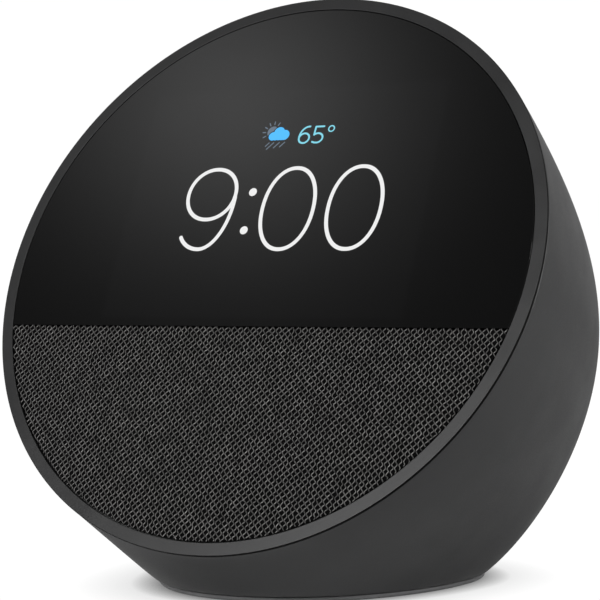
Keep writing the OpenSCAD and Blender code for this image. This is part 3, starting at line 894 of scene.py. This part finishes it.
class DISPLAY_OT_picture(bpy.types.Operator):
    """Build the clock digits, the temperature and the weather sign of the picture"""

    bl_idname = "round_display.picture"
    bl_label = "Picture"

    def execute(self, context):
        s = settings().face
        half = s.stroke / MM / 2
        low, high = PANEL_Z - 0.04, PANEL_Z + 0.03
        digits = Shape()
        for x, y in ((3.68, 10.92), (17.7, 10.78)):
            digits.ribbon(oval((x, y), 5.46, 8.42), half, low, high, loop=True)
        digits.ribbon(oval((-13.72, 14.32), 5.28, 5.33, 2.05), half, low, high, loop=True)
        tail = arc((-13.9, 12.9), 5.52, 10.15, 4, -90, 40)
        tail += arc((-13.9, 7.95), 5.2, 5.2, -92, -149, 20)
        digits.ribbon(tail, half, low, high)
        for y in (14.55, 6.55):
            digits.turned_solid([(0.84, low), (0.84, high - 0.03), (0.8, high)], 40, (-4.72, y))
        white = shared("clock white", lit, s.digit_tint[:], 1.0)
        digits.piece("clock_digits", FACE, [white])

        thin = 0.22
        warm = Shape()
        bowl = arc((3.68, 25.68), 1.1, 1.04, 0, 345, 30)
        warm.ribbon(bowl, thin, low, high, loop=True)
        warm.ribbon(arc((4.45, 25.95), 1.88, 2.2, 88, 186, 22), thin, low, high)
        warm.ribbon([(5.8, 28.04), (6.7, 28.04), (7.55, 28.04)], thin, low, high)
        warm.ribbon([(5.8, 28.04), (5.77, 27.2), (5.74, 26.45)], thin, low, high)
        five = arc((6.55, 25.62), 1.12, 1.0, 136, -90, 30) + [(6.1, 24.65), (5.62, 24.82)]
        warm.ribbon(five, thin, low, high)
        warm.ribbon(arc((9.2, 27.48), 0.6, 0.6, 0, 350, 30), 0.15, low, high, loop=True)
        teal = shared("temperature blue", lit, s.degree_tint[:], 1.0)
        warm.piece("temperature", FACE, [teal])

        lobes = [(-3.25, 26.4, 0.9), (-2.0, 27.15, 1.17), (-0.78, 26.58, 1.08)]
        lobes += [(x, 26.35, 0.85) for x in (-2.6, -1.9, -1.3)]
        middle = np.array([-1.95, 26.4])
        turns = np.linspace(0, 2 * math.pi, 120, endpoint=False)

        def cloud(inset):
            found = []
            for t in turns:
                reach = union_reach(middle, t, lobes) - inset
                found.append((middle[0] + reach * math.cos(t), middle[1] + reach * math.sin(t)))
            return found

        sky = shared("cloud blue", lit, s.cloud_tint[:], 1.0)
        shape = Shape().plate(cloud, low, high, 0.02)
        shape.piece("weather_cloud", FACE, [sky])

        dim = Shape()
        sun, halo = np.array([-3.45, 27.32]), [(x, y, r + 0.2) for x, y, r in lobes]
        crescent = []
        for t in np.radians(np.linspace(40, 262, 60)):
            near = union_reach(sun, t, halo)
            if near < 1.15:
                crescent.append((t, near))
        edge = [(t, 1.2) for t, _ in crescent] + crescent[::-1]
        edge = [(sun[0] + r * math.cos(t), sun[1] + r * math.sin(t)) for t, r in edge]
        dim.loft([[(*p, z) for p in edge] for z in (low, high)])
        for t in np.radians(np.arange(60, 211, 30)):
            ray = [sun + r * np.array([math.cos(t), math.sin(t)]) for r in (1.62, 1.92, 2.22)]
            dim.ribbon(ray, 0.12, low, high)
        for x, fall in ((-3.75, 0.7), (-2.75, 1.35), (-1.5, 1.1), (-0.35, 0.95)):
            drop = [(x - fall * k * 0.95, 25.0 - fall * k) for k in (0, 0.5, 1)]
            dim.ribbon(drop, 0.12, low, high)
        grey = shared("sun and rain grey", lit, s.dim_tint[:], 1.0)
        dim.piece("weather_sun_rain", FACE, [grey])
        return {"FINISHED"}


def oval(centre, rx, ry, power=2.12, steps=96):
    """A closed oval a little squarer than an ellipse."""
    found = []
    for t in np.linspace(0, 2 * math.pi, steps, endpoint=False):
        x, y = (math.copysign(abs(v) ** (2 / power), v) for v in (math.cos(t), math.sin(t)))
        found.append((centre[0] + rx * x, centre[1] + ry * y))
    return found


# ---- speaker cloth --------------------------------------------------------------------------
class Nodes:
    """Helper that builds a geometry node tree."""

    def __init__(self, name):
        self.tree = bpy.data.node_groups.new(name, "GeometryNodeTree")
        self.source = self.tree.nodes.new("NodeGroupInput")
        self.sink = self.tree.nodes.new("NodeGroupOutput")

    def input(self, name, kind, default=None):
        """A named input of the tree, returned as an output socket inside it."""
        made = self.tree.interface.new_socket(name, in_out="INPUT", socket_type=kind)
        if default is not None:
            made.default_value = default
        return self.source.outputs[name]

    def output(self, name, kind, value):
        """The tree's result."""
        self.tree.interface.new_socket(name, in_out="OUTPUT", socket_type=kind)
        self.tree.links.new(value, self.sink.inputs[name])

    def add(self, kind, links=None, **settings):
        """A node, with values or links for its inputs by name or number."""
        made = self.tree.nodes.new(kind)
        for key, value in settings.items():
            setattr(made, key, value)
        for key, value in (links or {}).items():
            if isinstance(value, bpy.types.NodeSocket):
                self.tree.links.new(value, made.inputs[key])
            else:
                made.inputs[key].default_value = value
        return made

    def math(self, operation, *values):
        """A math node."""
        return self.add("ShaderNodeMath", dict(enumerate(values)), operation=operation).outputs[0]

    def vmath(self, operation, first, second):
        """A vector math node; a scale is its second value."""
        key = "Scale" if operation == "SCALE" else 1
        links = {0: first, key: second}
        return self.add("ShaderNodeVectorMath", links, operation=operation).outputs[0]

    def square(self, value):
        """A value times itself."""
        return self.math("MULTIPLY", value, value)

    def vector(self, x, y, z):
        """A vector from three values."""
        return self.add("ShaderNodeCombineXYZ", {0: x, 1: y, 2: z}).outputs[0]

    def parts(self, vector):
        """The three parts of a vector."""
        return self.add("ShaderNodeSeparateXYZ", {0: vector}).outputs


def net_tree():
    """Tree that zigzags threads over the lower part of the face, turned down at its edge."""
    g = Nodes("speaker net")
    count = g.input("Threads", "NodeSocketInt", 80)
    first = g.input("First thread", "NodeSocketFloat", 0.0)
    gap = g.input("Thread spacing", "NodeSocketFloat", 0.00135)
    radius = g.input("Face radius", "NodeSocketFloat", 0.0538)
    top = g.input("Upper edge", "NodeSocketFloat", -0.0133)
    wave = g.input("Wave length", "NodeSocketFloat", 0.0013)
    swing = g.input("Wave height", "NodeSocketFloat", 0.0003)
    lift = g.input("Lift", "NodeSocketFloat", 0.00004)
    wobble = g.input("Wobble", "NodeSocketFloat", 0.00008)
    thick = g.input("Thread radius", "NodeSocketFloat", 0.00009)
    step = g.input("Step", "NodeSocketFloat", 0.00016)
    turn = g.input("Edge turn", "NodeSocketFloat", 0.00018)
    finish = g.input("Finish", "NodeSocketMaterial")

    row = g.add(
        "GeometryNodeMeshLine",
        {"Count": count, "Start Location": g.vector(first, 0, 0), "Offset": g.vector(gap, 0, 0)},
    )
    straight = g.add("GeometryNodeCurvePrimitiveLine", {"Start": (0, 0, 0), "End": (0, 1, 0)})
    many = g.add(
        "GeometryNodeInstanceOnPoints", {"Points": row.outputs[0], "Instance": straight.outputs[0]}
    )
    real = g.add("GeometryNodeRealizeInstances", {0: many.outputs[0]})
    at = g.add("GeometryNodeInputPosition").outputs[0]
    x, y, _ = g.parts(at)
    low = g.math("SQRT", g.math("SUBTRACT", g.square(radius), g.square(x)))
    low = g.math("MULTIPLY", low, -1.0)
    y = g.math("ADD", low, g.math("MULTIPLY", g.math("SUBTRACT", top, low), y))
    place = g.vector(x, y, 0.0)
    stretched = g.add("GeometryNodeSetPosition", {"Geometry": real.outputs[0], "Position": place})
    fine = g.add(
        "GeometryNodeResampleCurve", {"Curve": stretched.outputs[0], "Length": step}, mode="LENGTH"
    )

    x, y, _ = g.parts(at)
    phase = g.math("MULTIPLY", g.math("DIVIDE", y, wave), 2 * math.pi)
    third = g.math("SINE", g.math("MULTIPLY", phase, 3.0))
    peak = g.math("ADD", g.math("SINE", phase), g.math("MULTIPLY", third, 0.06))
    side = g.math("MULTIPLY", peak, swing)
    over = g.math("MULTIPLY", g.math("COSINE", phase), lift)
    wander = [
        g.add("ShaderNodeTexNoise", {"Vector": at, "Scale": scale, "Detail": 1.0}).outputs["Color"]
        for scale in (1500.0, 420.0)
    ]
    off = g.vmath("SUBTRACT", g.vmath("ADD", *wander), (1.0, 1.0, 1.0))
    off = g.vmath("SCALE", off, g.math("MULTIPLY", wobble, 2.5))
    off = g.vmath("MULTIPLY", off, (1.0, 1.0, 0.12))
    reach = g.math("SQRT", g.math("ADD", g.square(x), g.square(y)))
    inside = g.math("MINIMUM", g.math("SUBTRACT", radius, reach), g.math("SUBTRACT", top, y))
    share = g.math("SUBTRACT", 1.0, g.math("DIVIDE", inside, turn))
    share = g.math("MINIMUM", g.math("MAXIMUM", share, 0.0), 1.0)
    round_off = g.math("SQRT", g.math("SUBTRACT", 1.0, g.square(share)))
    round_off = g.math("SUBTRACT", 1.0, round_off)
    drop = g.math("MULTIPLY", g.math("MULTIPLY", round_off, turn), -1.0)
    shift = g.vmath("ADD", off, g.vector(side, 0.0, g.math("ADD", over, drop)))
    waved = g.add("GeometryNodeSetPosition", {"Geometry": fine.outputs[0], "Offset": shift})
    ring = g.add("GeometryNodeCurvePrimitiveCircle", {"Resolution": 5, "Radius": thick})
    tubes = g.add(
        "GeometryNodeCurveToMesh",
        {"Curve": waved.outputs[0], "Profile Curve": ring.outputs[0], "Fill Caps": True},
    )
    soft = g.add("GeometryNodeSetShadeSmooth", {"Geometry": tubes.outputs[0]})
    last = g.add("GeometryNodeRealizeInstances", {0: soft.outputs[0]})
    dressed = g.add("GeometryNodeSetMaterial", {"Geometry": last.outputs[0], "Material": finish})
    g.output("Geometry", "NodeSocketGeometry", dressed.outputs[0])
    return g.tree


def run_tree(name, tree, values, place):
    """Runs a node tree with named inputs, and keeps the result as a plain piece."""
    holder = added("holder", bpy.data.meshes.new("holder"))
    modifier = holder.modifiers.new("net", "NODES")
    modifier.node_group = tree
    for item in tree.interface.items_tree:
        if item.item_type == "SOCKET" and item.in_out == "INPUT" and item.name in values:
            modifier[item.identifier] = values[item.name]
    mesh = evaluated_mesh(holder)
    bpy.data.objects.remove(holder)
    if not mesh.polygons:
        raise RuntimeError(f"the node tree for {name} made no faces")
    mesh.name = name
    mesh.transform(place)
    return placed(name, mesh)


class DISPLAY_OT_speaker_cloth(bpy.types.Operator):
    """Build the speaker cloth: a dark backing with a knitted net of threads over it"""

    bl_idname = "round_display.speaker_cloth"
    bl_label = "Speaker cloth"

    def execute(self, context):
        s = settings().cloth
        # The backing is a black sheet. Its near-black colour is partly painted shade, standing in
        # for the dark depth seen through the net's openings.
        felt = shared("black cloth backing", woven, s.backing_tint[:], 0.3, 0.03)
        shape = Shape().plate(
            lambda inset: face_segment(PANEL_R - 0.05, False, inset, 0.15), -0.55, -0.32, 0.2
        )
        backing = shape.piece("speaker_cloth", FACE, [felt], sharp=60)
        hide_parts("speaker_fabric")

        yarn = shared("charcoal net thread", thread, s.tint[:])
        tree = net_tree()
        radius = (PANEL_R + 0.08) * MM
        place = FACE @ Matrix.Scale(1 / MM, 4) @ Matrix.Translation((0, 0, -CLOTH_DROP * MM))
        for name, sign in (("cloth_net_left", 1), ("cloth_net_right", -1)):
            reach = radius - 3 * s.thread_radius
            half_count = int(reach / (2 * s.pitch))
            first = -half_count * 2 * s.pitch + (0.0 if sign > 0 else s.pitch)
            count = 2 * half_count + (1 if sign > 0 else 0)
            values = {
                "Threads": count,
                "First thread": first,
                "Thread spacing": 2 * s.pitch,
                "Face radius": radius,
                "Upper edge": (SPLIT_Y + SPLIT_RISE) * MM,
                "Wave length": s.wave,
                "Wave height": sign * (s.pitch / 2 - 0.98 * s.thread_radius),
                "Lift": sign * 0.1 * s.thread_radius,
                "Wobble": s.wobble,
                "Thread radius": s.thread_radius,
                "Step": s.step,
                "Finish": yarn,
            }
            made = run_tree(name, tree, values, place)
        return {"FINISHED"}


class DISPLAY_OT_buttons(bpy.types.Operator):
    """Build the volume and mute buttons on the shell's top"""

    bl_idname = "round_display.buttons"
    bl_label = "Buttons"

    def execute(self, context):
        s = settings().buttons
        names = {-1: "volume_down_button", 0: "mute_button", 1: "volume_up_button"}
        finish = shared("matte charcoal keys", moulded, shade(settings().shell.tint[:], 0.85), 0.4)
        pale = shared("grey key marks", moulded, (0.085, 0.085, 0.087), 0.5)
        for side, node in names.items():
            cap = self.cap(side, s)
            name = node.replace("_button", "_key")
            made = cap.piece(name, BUTTON, [finish, pale], body=node, sharp=40)
            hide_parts(node)
        return {"FINISHED"}

    def cap(self, side, s):
        """One cap: a dome that follows the shell, with a foot flange and a raised mark."""
        radius, ball = s.radius / MM, 46.0
        x0, y0, rise = cap_seat(side)
        point = skin(cap_angle(side), BUTTON_T)
        centre = point - (ball - s.proud / MM) * skin_normal(cap_angle(side), BUTTON_T)
        middle = BUTTON.inverted() @ Vector(centre * MM)

        def top(x, y):
            return middle.z + math.sqrt(ball**2 - (x - middle.x) ** 2 - (y - middle.y) ** 2)

        angles = np.linspace(0, 2 * math.pi, 72, endpoint=False)
        edge = 0.45
        high, low, wide = rise - WALL - 2.6, rise - WALL - 3.4, radius + 0.9
        flange = [(1.0, low), (radius + 0.8, low), (wide, low + 0.1)]
        flange += [(wide, high - 0.1), (radius + 0.8, high), (radius, high)]
        rings = circles(flange, len(angles), (x0, y0))
        for k in range(6):
            turn = math.pi / 2 * k / 5
            r, fall = radius - edge * (1 - math.cos(turn)), edge * (1 - math.sin(turn))
            rings.append(self.ring_on(top, x0, y0, r, fall, angles))
        for share in (0.85, 0.7, 0.5, 0.3, 0.12):
            r = radius * share
            rings.append(self.ring_on(top, x0, y0, r, self.dish(r, radius), angles))
        shape = Shape().loft(rings)

        def dished(x, y):
            return top(x, y) - self.dish(math.hypot(x - x0, y - y0), radius)

        self.mark(shape, side, dished, x0, y0, s.mark / MM)
        return shape

    def ring_on(self, top, x0, y0, r, fall, angles):
        """A ring of points under the dome by some fall."""
        found = []
        for a in angles:
            x, y = x0 + r * math.cos(a), y0 + r * math.sin(a)
            found.append((x, y, top(x, y) - fall))
        return found

    def dish(self, r, radius):
        """Depth of the slight finger dish in a cap."""
        share = max(0.0, 1 - (r / (0.8 * radius)) ** 2)
        return 0.12 * share * share

    def mark(self, shape, side, top, x0, y0, height):
        """The raised sign on a cap: a bar, a barred ring or a cross."""
        lines = [[(-1.1, 0), (0, 0), (1.1, 0)]]
        if side == 1:
            lines.append([(0, -1.1), (0, 0), (0, 1.1)])
        if side == 0:
            lines = [[(-0.85, -0.85), (0, 0), (0.85, 0.85)]]
        start = len(shape.points)
        for line in lines:
            shape.ribbon([(x0 + x, y0 + y) for x, y in line], 0.15, 0, 1, finish=1)
        if side == 0:
            ring = oval((x0, y0), 1.2, 1.2, 2, 48)
            shape.ribbon(ring, 0.14, 0, 1, loop=True, finish=1)
        for i in range(start, len(shape.points)):
            x, y, z = shape.points[i]
            shape.points[i] = (x, y, top(x, y) + (height if z > 0.5 else -0.3))


class DISPLAY_OT_power_socket(bpy.types.Operator):
    """Build the power socket with its pin, and the trim ring round it"""

    bl_idname = "round_display.power_socket"
    bl_label = "Power socket"

    def execute(self, context):
        count = 120
        tree = self.skin_tree()
        face = [(6.2, 0.12), (6.1, 0.02), (5.15, 0.02), (4.95, 0.12), (4.9, 0.4)]
        rings = [
            [(x, y, self.height(tree, x, y) - drop) for x, y, drop in ring]
            for ring in circles(face, count)
        ]
        well = [(4.9, -2.75), (4.65, -3.0), (4.35, -3.1), (4.35, -4.4), (6.2, -4.4)]
        rings += circles(well, count)
        trim = Shape().loft(rings, closed=True)
        made = trim.piece("socket_trim_ring", SOCKET, [shell_finish()], sharp=30)
        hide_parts("socket_trim")

        black = shared("black socket plastic", moulded, (0.012, 0.012, 0.012), 0.38, 0.3)
        steel = shared("nickel contact", metal, (0.62, 0.60, 0.56), 0.24)
        jack = Shape()
        barrel = [(2.85, -3.25), (3.05, -3.02), (4.15, -3.02), (4.3, -3.15), (4.3, -4.6)]
        barrel += [(2.6, -4.6), (2.6, -12.5), (2.85, -12.5)]
        jack.turned(barrel, 96)
        pin = [(1.05, -12.6), (1.05, -4.5), (0.98, -4.15), (0.8, -3.9), (0.45, -3.8)]
        jack.turned_solid(pin, 48, finish=1)
        contact = [(2.84, -11.5), (2.84, -5.0), (2.74, -5.0), (2.66, -8.0), (2.74, -11.5)]
        jack.turned(contact, 48, finish=1)
        body, bore = 4.6, 2.62
        for low, high in (
            ((-body, -body, -15), (body, -bore, -4.5)),
            ((-body, bore, -15), (body, body, -4.5)),
            ((-body, -bore, -15), (-bore, bore, -4.5)),
            ((bore, -bore, -15), (body, bore, -4.5)),
            ((-bore, -bore, -15), (bore, bore, -12.5)),
        ):
            jack.box(low, high, 0.02)
        made = jack.piece("socket_jack", SOCKET, [black, steel], sharp=30)
        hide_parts("power_socket")
        return {"FINISHED"}

    def skin_tree(self):
        """The shell's surface round the socket, for finding its height."""
        a = np.radians(np.linspace(60, 120, 120))
        t = np.linspace(0.6, 1.0, 80)
        grid = skin(a[None, :], t[:, None]) * MM
        points = [SOCKET.inverted() @ Vector(p) for p in grid.reshape(-1, 3)]
        faces = []
        for j in range(len(t) - 1):
            for i in range(len(a) - 1):
                k = j * len(a) + i
                faces.append((k, k + 1, k + len(a) + 1, k + len(a)))
        return BVHTree.FromPolygons(points, faces)

    def height(self, tree, x, y):
        """Height of the shell's surface over the socket frame, at a point."""
        hit = tree.ray_cast(Vector((x, y, 20)), Vector((0, 0, -1)))[0]
        if hit is None:
            raise RuntimeError("the socket's trim misses the shell")
        return hit.z


class DISPLAY_OT_foot(bpy.types.Operator):
    """Build the soft foot pad under the shell"""

    bl_idname = "round_display.foot"
    bl_label = "Foot"

    def execute(self, context):
        finish = shared("grey foot rubber", rubber, (0.10, 0.10, 0.102))
        profile = [(7.0, 0.12), (6.5, 0.0), (0.8, 0.0), (0.6, 0.06), (0.45, 0.2), (0.35, 0.35)]
        profile += [(0.35, 0.78), (0.42, 0.86), (7, 0.88)]
        rings = [[(*p, z) for p in foot_outline(inset)] for inset, z in profile]
        made = Shape().loft(rings).piece("foot", WORLD, [finish], sharp=50)
        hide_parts("foot_pad")
        return {"FINISHED"}


class DISPLAY_OT_inner_finishes(bpy.types.Operator):
    """Give every carried-over inner part its procedural finish"""

    bl_idname = "round_display.inner_finishes"
    bl_label = "Inner finishes"

    def execute(self, context):
        makers = {
            "inner_plastic": (moulded, (0.05, 0.05, 0.052), 0.5, 0.35),
            "black_plastic": (moulded, (0.008, 0.008, 0.008), 0.5, 0.3),
            "shell_plastic": (moulded, (0.031, 0.031, 0.032), 0.46),
            "rim_plastic": (moulded, (0.028, 0.028, 0.029), 0.42),
            "cover_glass": (moulded, (0.003, 0.003, 0.003), 0.1, 2.0, 0.001),
            "lcd_cell": (moulded, (0.015, 0.017, 0.022), 0.16, 2.0, 0.001),
            "speaker_cloth": (woven, (0.02, 0.02, 0.02), 0.3, 0.03),
            "adhesive_foam": (fibrous, (0.05, 0.05, 0.05), 0.3, 0.05),
            "steel": (metal, (0.56, 0.57, 0.58), 0.34),
            "aluminium": (metal, (0.72, 0.73, 0.74), 0.38, (30.0, 1.0, 1.0)),
            "magnet_nickel": (metal, (0.60, 0.58, 0.53), 0.28, (1.0, 1.0, 1.0)),
            "copper": (winding, (0.72, 0.33, 0.16), 0.22),
            "cone_paper": (fibrous, (0.03, 0.03, 0.032), 0.5, 0.06),
            "spider_cloth": (woven, (0.38, 0.24, 0.09), 0.5, 0.08),
            "soft_rubber": (rubber, (0.012, 0.012, 0.012)),
            "circuit_board": (board, (0.006, 0.07, 0.035)),
            "flex_film": (rubber, (0.42, 0.19, 0.03), 0.35),
            "chip_resin": (moulded, (0.012, 0.012, 0.013), 0.55, 0.2),
            "thermal_silicone": (rubber, (0.32, 0.34, 0.42), 0.7),
            "wire_red": (rubber, (0.42, 0.02, 0.015), 0.4),
            "wire_yellow": (rubber, (0.62, 0.42, 0.03), 0.4),
            "foot_silicone": (rubber, (0.05, 0.05, 0.052)),
        }
        for node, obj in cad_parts.items():
            for place in obj.material_slots:
                name = place.material.name.split(".")[0].replace(" finish", "")
                if name not in makers:
                    raise RuntimeError(f"node {node} has no finish for its slot {name}")
                maker, *values = makers[name]
                place.material = shared(f"{name} finish", maker, *values)
        return {"FINISHED"}


class DISPLAY_OT_studio(bpy.types.Operator):
    """Set up the pale floor, the soft lights and the camera"""

    bl_idname = "round_display.studio"
    bl_label = "Studio"

    def execute(self, context):
        s = settings().studio
        scene = bpy.context.scene
        scene.view_settings.view_transform = "Standard"
        camera = bpy.data.cameras.new("camera")
        camera.lens, camera.sensor_width = s.lens, 36.0
        camera.clip_start, camera.clip_end = 0.01, 50.0
        view = added("camera", camera)
        view.location = CAMERA_PLACE
        view.rotation_euler = (math.radians(90), 0, CAMERA_TURN)
        scene.camera = view

        self.floor()
        self.world(scene, s.ambient, s.around)
        for name, (place, size) in LIGHTS.items():
            self.light(name, place, size, getattr(s, name))
        self.card(s.card)
        return {"FINISHED"}

    def light(self, name, place, size, power):
        """A soft square light aimed at the display."""
        data = bpy.data.lights.new(name, "AREA")
        data.energy, data.size = power, size
        obj = added(name, data)
        obj.location = place
        obj.rotation_mode = "QUATERNION"
        aim = Vector((0, 0, 0.05)) - Vector(place)
        obj.rotation_quaternion = aim.to_track_quat("-Z", "Y")

    def floor(self):
        """A plain white floor, evenly bright, with soft contact shadows."""
        mesh = square_mesh("floor", 3.0)
        paint = Paint("white floor")
        tone = paint.noise(0.02, 2.0)
        paint.set(specular_ior_level=0.1)
        white = paint.two(tone, (0.84, 0.84, 0.84), (0.86, 0.86, 0.86))
        paint.finish(white, paint.spread(tone, 0.8, 0.9))
        shade_of = []
        for distance, power in ((0.004, 0.5), (0.012, 0.22)):
            shadow = paint.node("ShaderNodeAmbientOcclusion", samples=12)
            shadow.inputs["Distance"].default_value = distance
            open_sky = paint.spread(shadow.outputs["AO"], 0.02, 1.0, 0.02, 0.97)
            shade_of.append(paint.math("POWER", open_sky, power))
        glow = paint.node("ShaderNodeEmission")
        bright = paint.math("MULTIPLY", paint.math("MULTIPLY", *shade_of), 1.03)
        paint.link(bright, glow.inputs["Strength"])
        path, mix = paint.node("ShaderNodeLightPath"), paint.node("ShaderNodeMixShader")
        paint.link(path.outputs["Is Camera Ray"], mix.inputs[0])
        paint.link(paint.shader.outputs[0], mix.inputs[1])
        paint.link(glow.outputs[0], mix.inputs[2])
        paint.surface(mix.outputs[0])
        mesh.materials.append(paint.material)
        added("floor", mesh)

    def world(self, scene, ambient, around):
        """White to the camera, softer on the object and in its reflections."""
        world = bpy.data.worlds.new("studio")
        world.use_nodes = True
        nodes, links = world.node_tree.nodes, world.node_tree.links
        path, last = nodes.new("ShaderNodeLightPath"), nodes["Background"]
        last.inputs["Color"].default_value = (1, 1, 1, 1)
        last.inputs["Strength"].default_value = ambient
        for ray, strength in (("Is Glossy Ray", around), ("Is Camera Ray", 1.02)):
            ground, mix = nodes.new("ShaderNodeBackground"), nodes.new("ShaderNodeMixShader")
            ground.inputs["Color"].default_value = (1, 1, 1, 1)
            ground.inputs["Strength"].default_value = strength
            links.new(path.outputs[ray], mix.inputs[0])
            links.new(last.outputs[0], mix.inputs[1])
            links.new(ground.outputs[0], mix.inputs[2])
            last = mix
        links.new(last.outputs[0], nodes["World Output"].inputs["Surface"])
        scene.world = world

    def card(self, strength):
        """A glowing card up in front, which the glass reflects as a soft gradient."""
        toward = unit(np.array([-0.53, -0.49, 0.69]))
        across = unit(np.cross([0.0, 0.0, 1.0], toward))
        centre = FACE_C + 36 * FACE_UP - 8 * RIGHT + 1000 * toward
        place = frame_matrix(centre, across, np.cross(toward, across), toward)
        half = 450.0
        mesh = square_mesh("card", half)
        corners = [c * MM for vertex in mesh.vertices for c in vertex.co[:2]]
        mesh.uv_layers.new(name="card").data.foreach_set("uv", corners)
        mesh.transform(place)
        paint = Paint("soft card")
        moved = paint.node("ShaderNodeMapping", vector_type="TEXTURE")
        moved.inputs["Location"].default_value = (-0.0075, 0.0203, 0)
        moved.inputs["Rotation"].default_value = (0, 0, -0.906)
        moved.inputs["Scale"].default_value = (0.1032, 0.1124, 1)
        paint.link(paint.node("ShaderNodeUVMap", uv_map="card").outputs[0], moved.inputs[0])
        far = paint.node("ShaderNodeVectorMath", operation="LENGTH")
        paint.link(moved.outputs[0], far.inputs[0])
        fall = paint.math("MULTIPLY", paint.math("POWER", far.outputs["Value"], 1.836), -1.0)
        glow = paint.math("MULTIPLY", paint.math("EXPONENT", fall), strength)
        emit = paint.node("ShaderNodeEmission")
        paint.link(paint.math("ADD", glow, 0.098), emit.inputs["Strength"])
        paint.surface(emit.outputs[0])
        paint.tree.nodes.remove(paint.shader)
        mesh.materials.append(paint.material)
        card = added("card", mesh)
        card.visible_camera = card.visible_diffuse = card.visible_shadow = False


class DISPLAY_PT_panel(bpy.types.Panel):
    """Lists the display's settings and the operators that build it"""

    bl_label = "Round smart display"
    bl_idname = "DISPLAY_PT_panel"
    bl_space_type = "VIEW_3D"
    bl_region_type = "UI"
    bl_category = "Display"

    def draw(self, context):
        for name, group in (
            ("Shell", settings().shell),
            ("Face", settings().face),
            ("Cloth", settings().cloth),
            ("Buttons", settings().buttons),
            ("Studio", settings().studio),
        ):
            box = self.layout.box()
            box.label(text=name)
            for key in group.bl_rna.properties.keys():
                if key not in ("rna_type", "name"):
                    box.prop(group, key)
        for operator in OPERATORS:
            self.layout.operator(operator.bl_idname)


OPERATORS = (
    DISPLAY_OT_studio,
    DISPLAY_OT_rear_shell,
    DISPLAY_OT_rim,
    DISPLAY_OT_cover_glass,
    DISPLAY_OT_picture,
    DISPLAY_OT_speaker_cloth,
    DISPLAY_OT_buttons,
    DISPLAY_OT_power_socket,
    DISPLAY_OT_foot,
    DISPLAY_OT_inner_finishes,
)
GROUPS = (ShellSettings, FaceSettings, ClothSettings, ButtonSettings, StudioSettings)
GROUPS += (DisplaySettings,)


def register():
    """Adds the settings, operators and panel."""
    for cls in (*GROUPS, *OPERATORS, DISPLAY_PT_panel):
        bpy.utils.register_class(cls)
    bpy.types.Scene.round_display = PointerProperty(type=DisplaySettings)


def unregister():
    """Removes them again."""
    del bpy.types.Scene.round_display
    for cls in reversed((*GROUPS, *OPERATORS, DISPLAY_PT_panel)):
        bpy.utils.unregister_class(cls)


def main():
    """Registers the add-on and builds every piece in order."""
    register()
    for operator in OPERATORS:
        group, name = operator.bl_idname.split(".")
        if getattr(getattr(bpy.ops, group), name)() != {"FINISHED"}:
            raise RuntimeError(f"{operator.bl_label} did not finish")


if __name__ == "__main__":
    main()
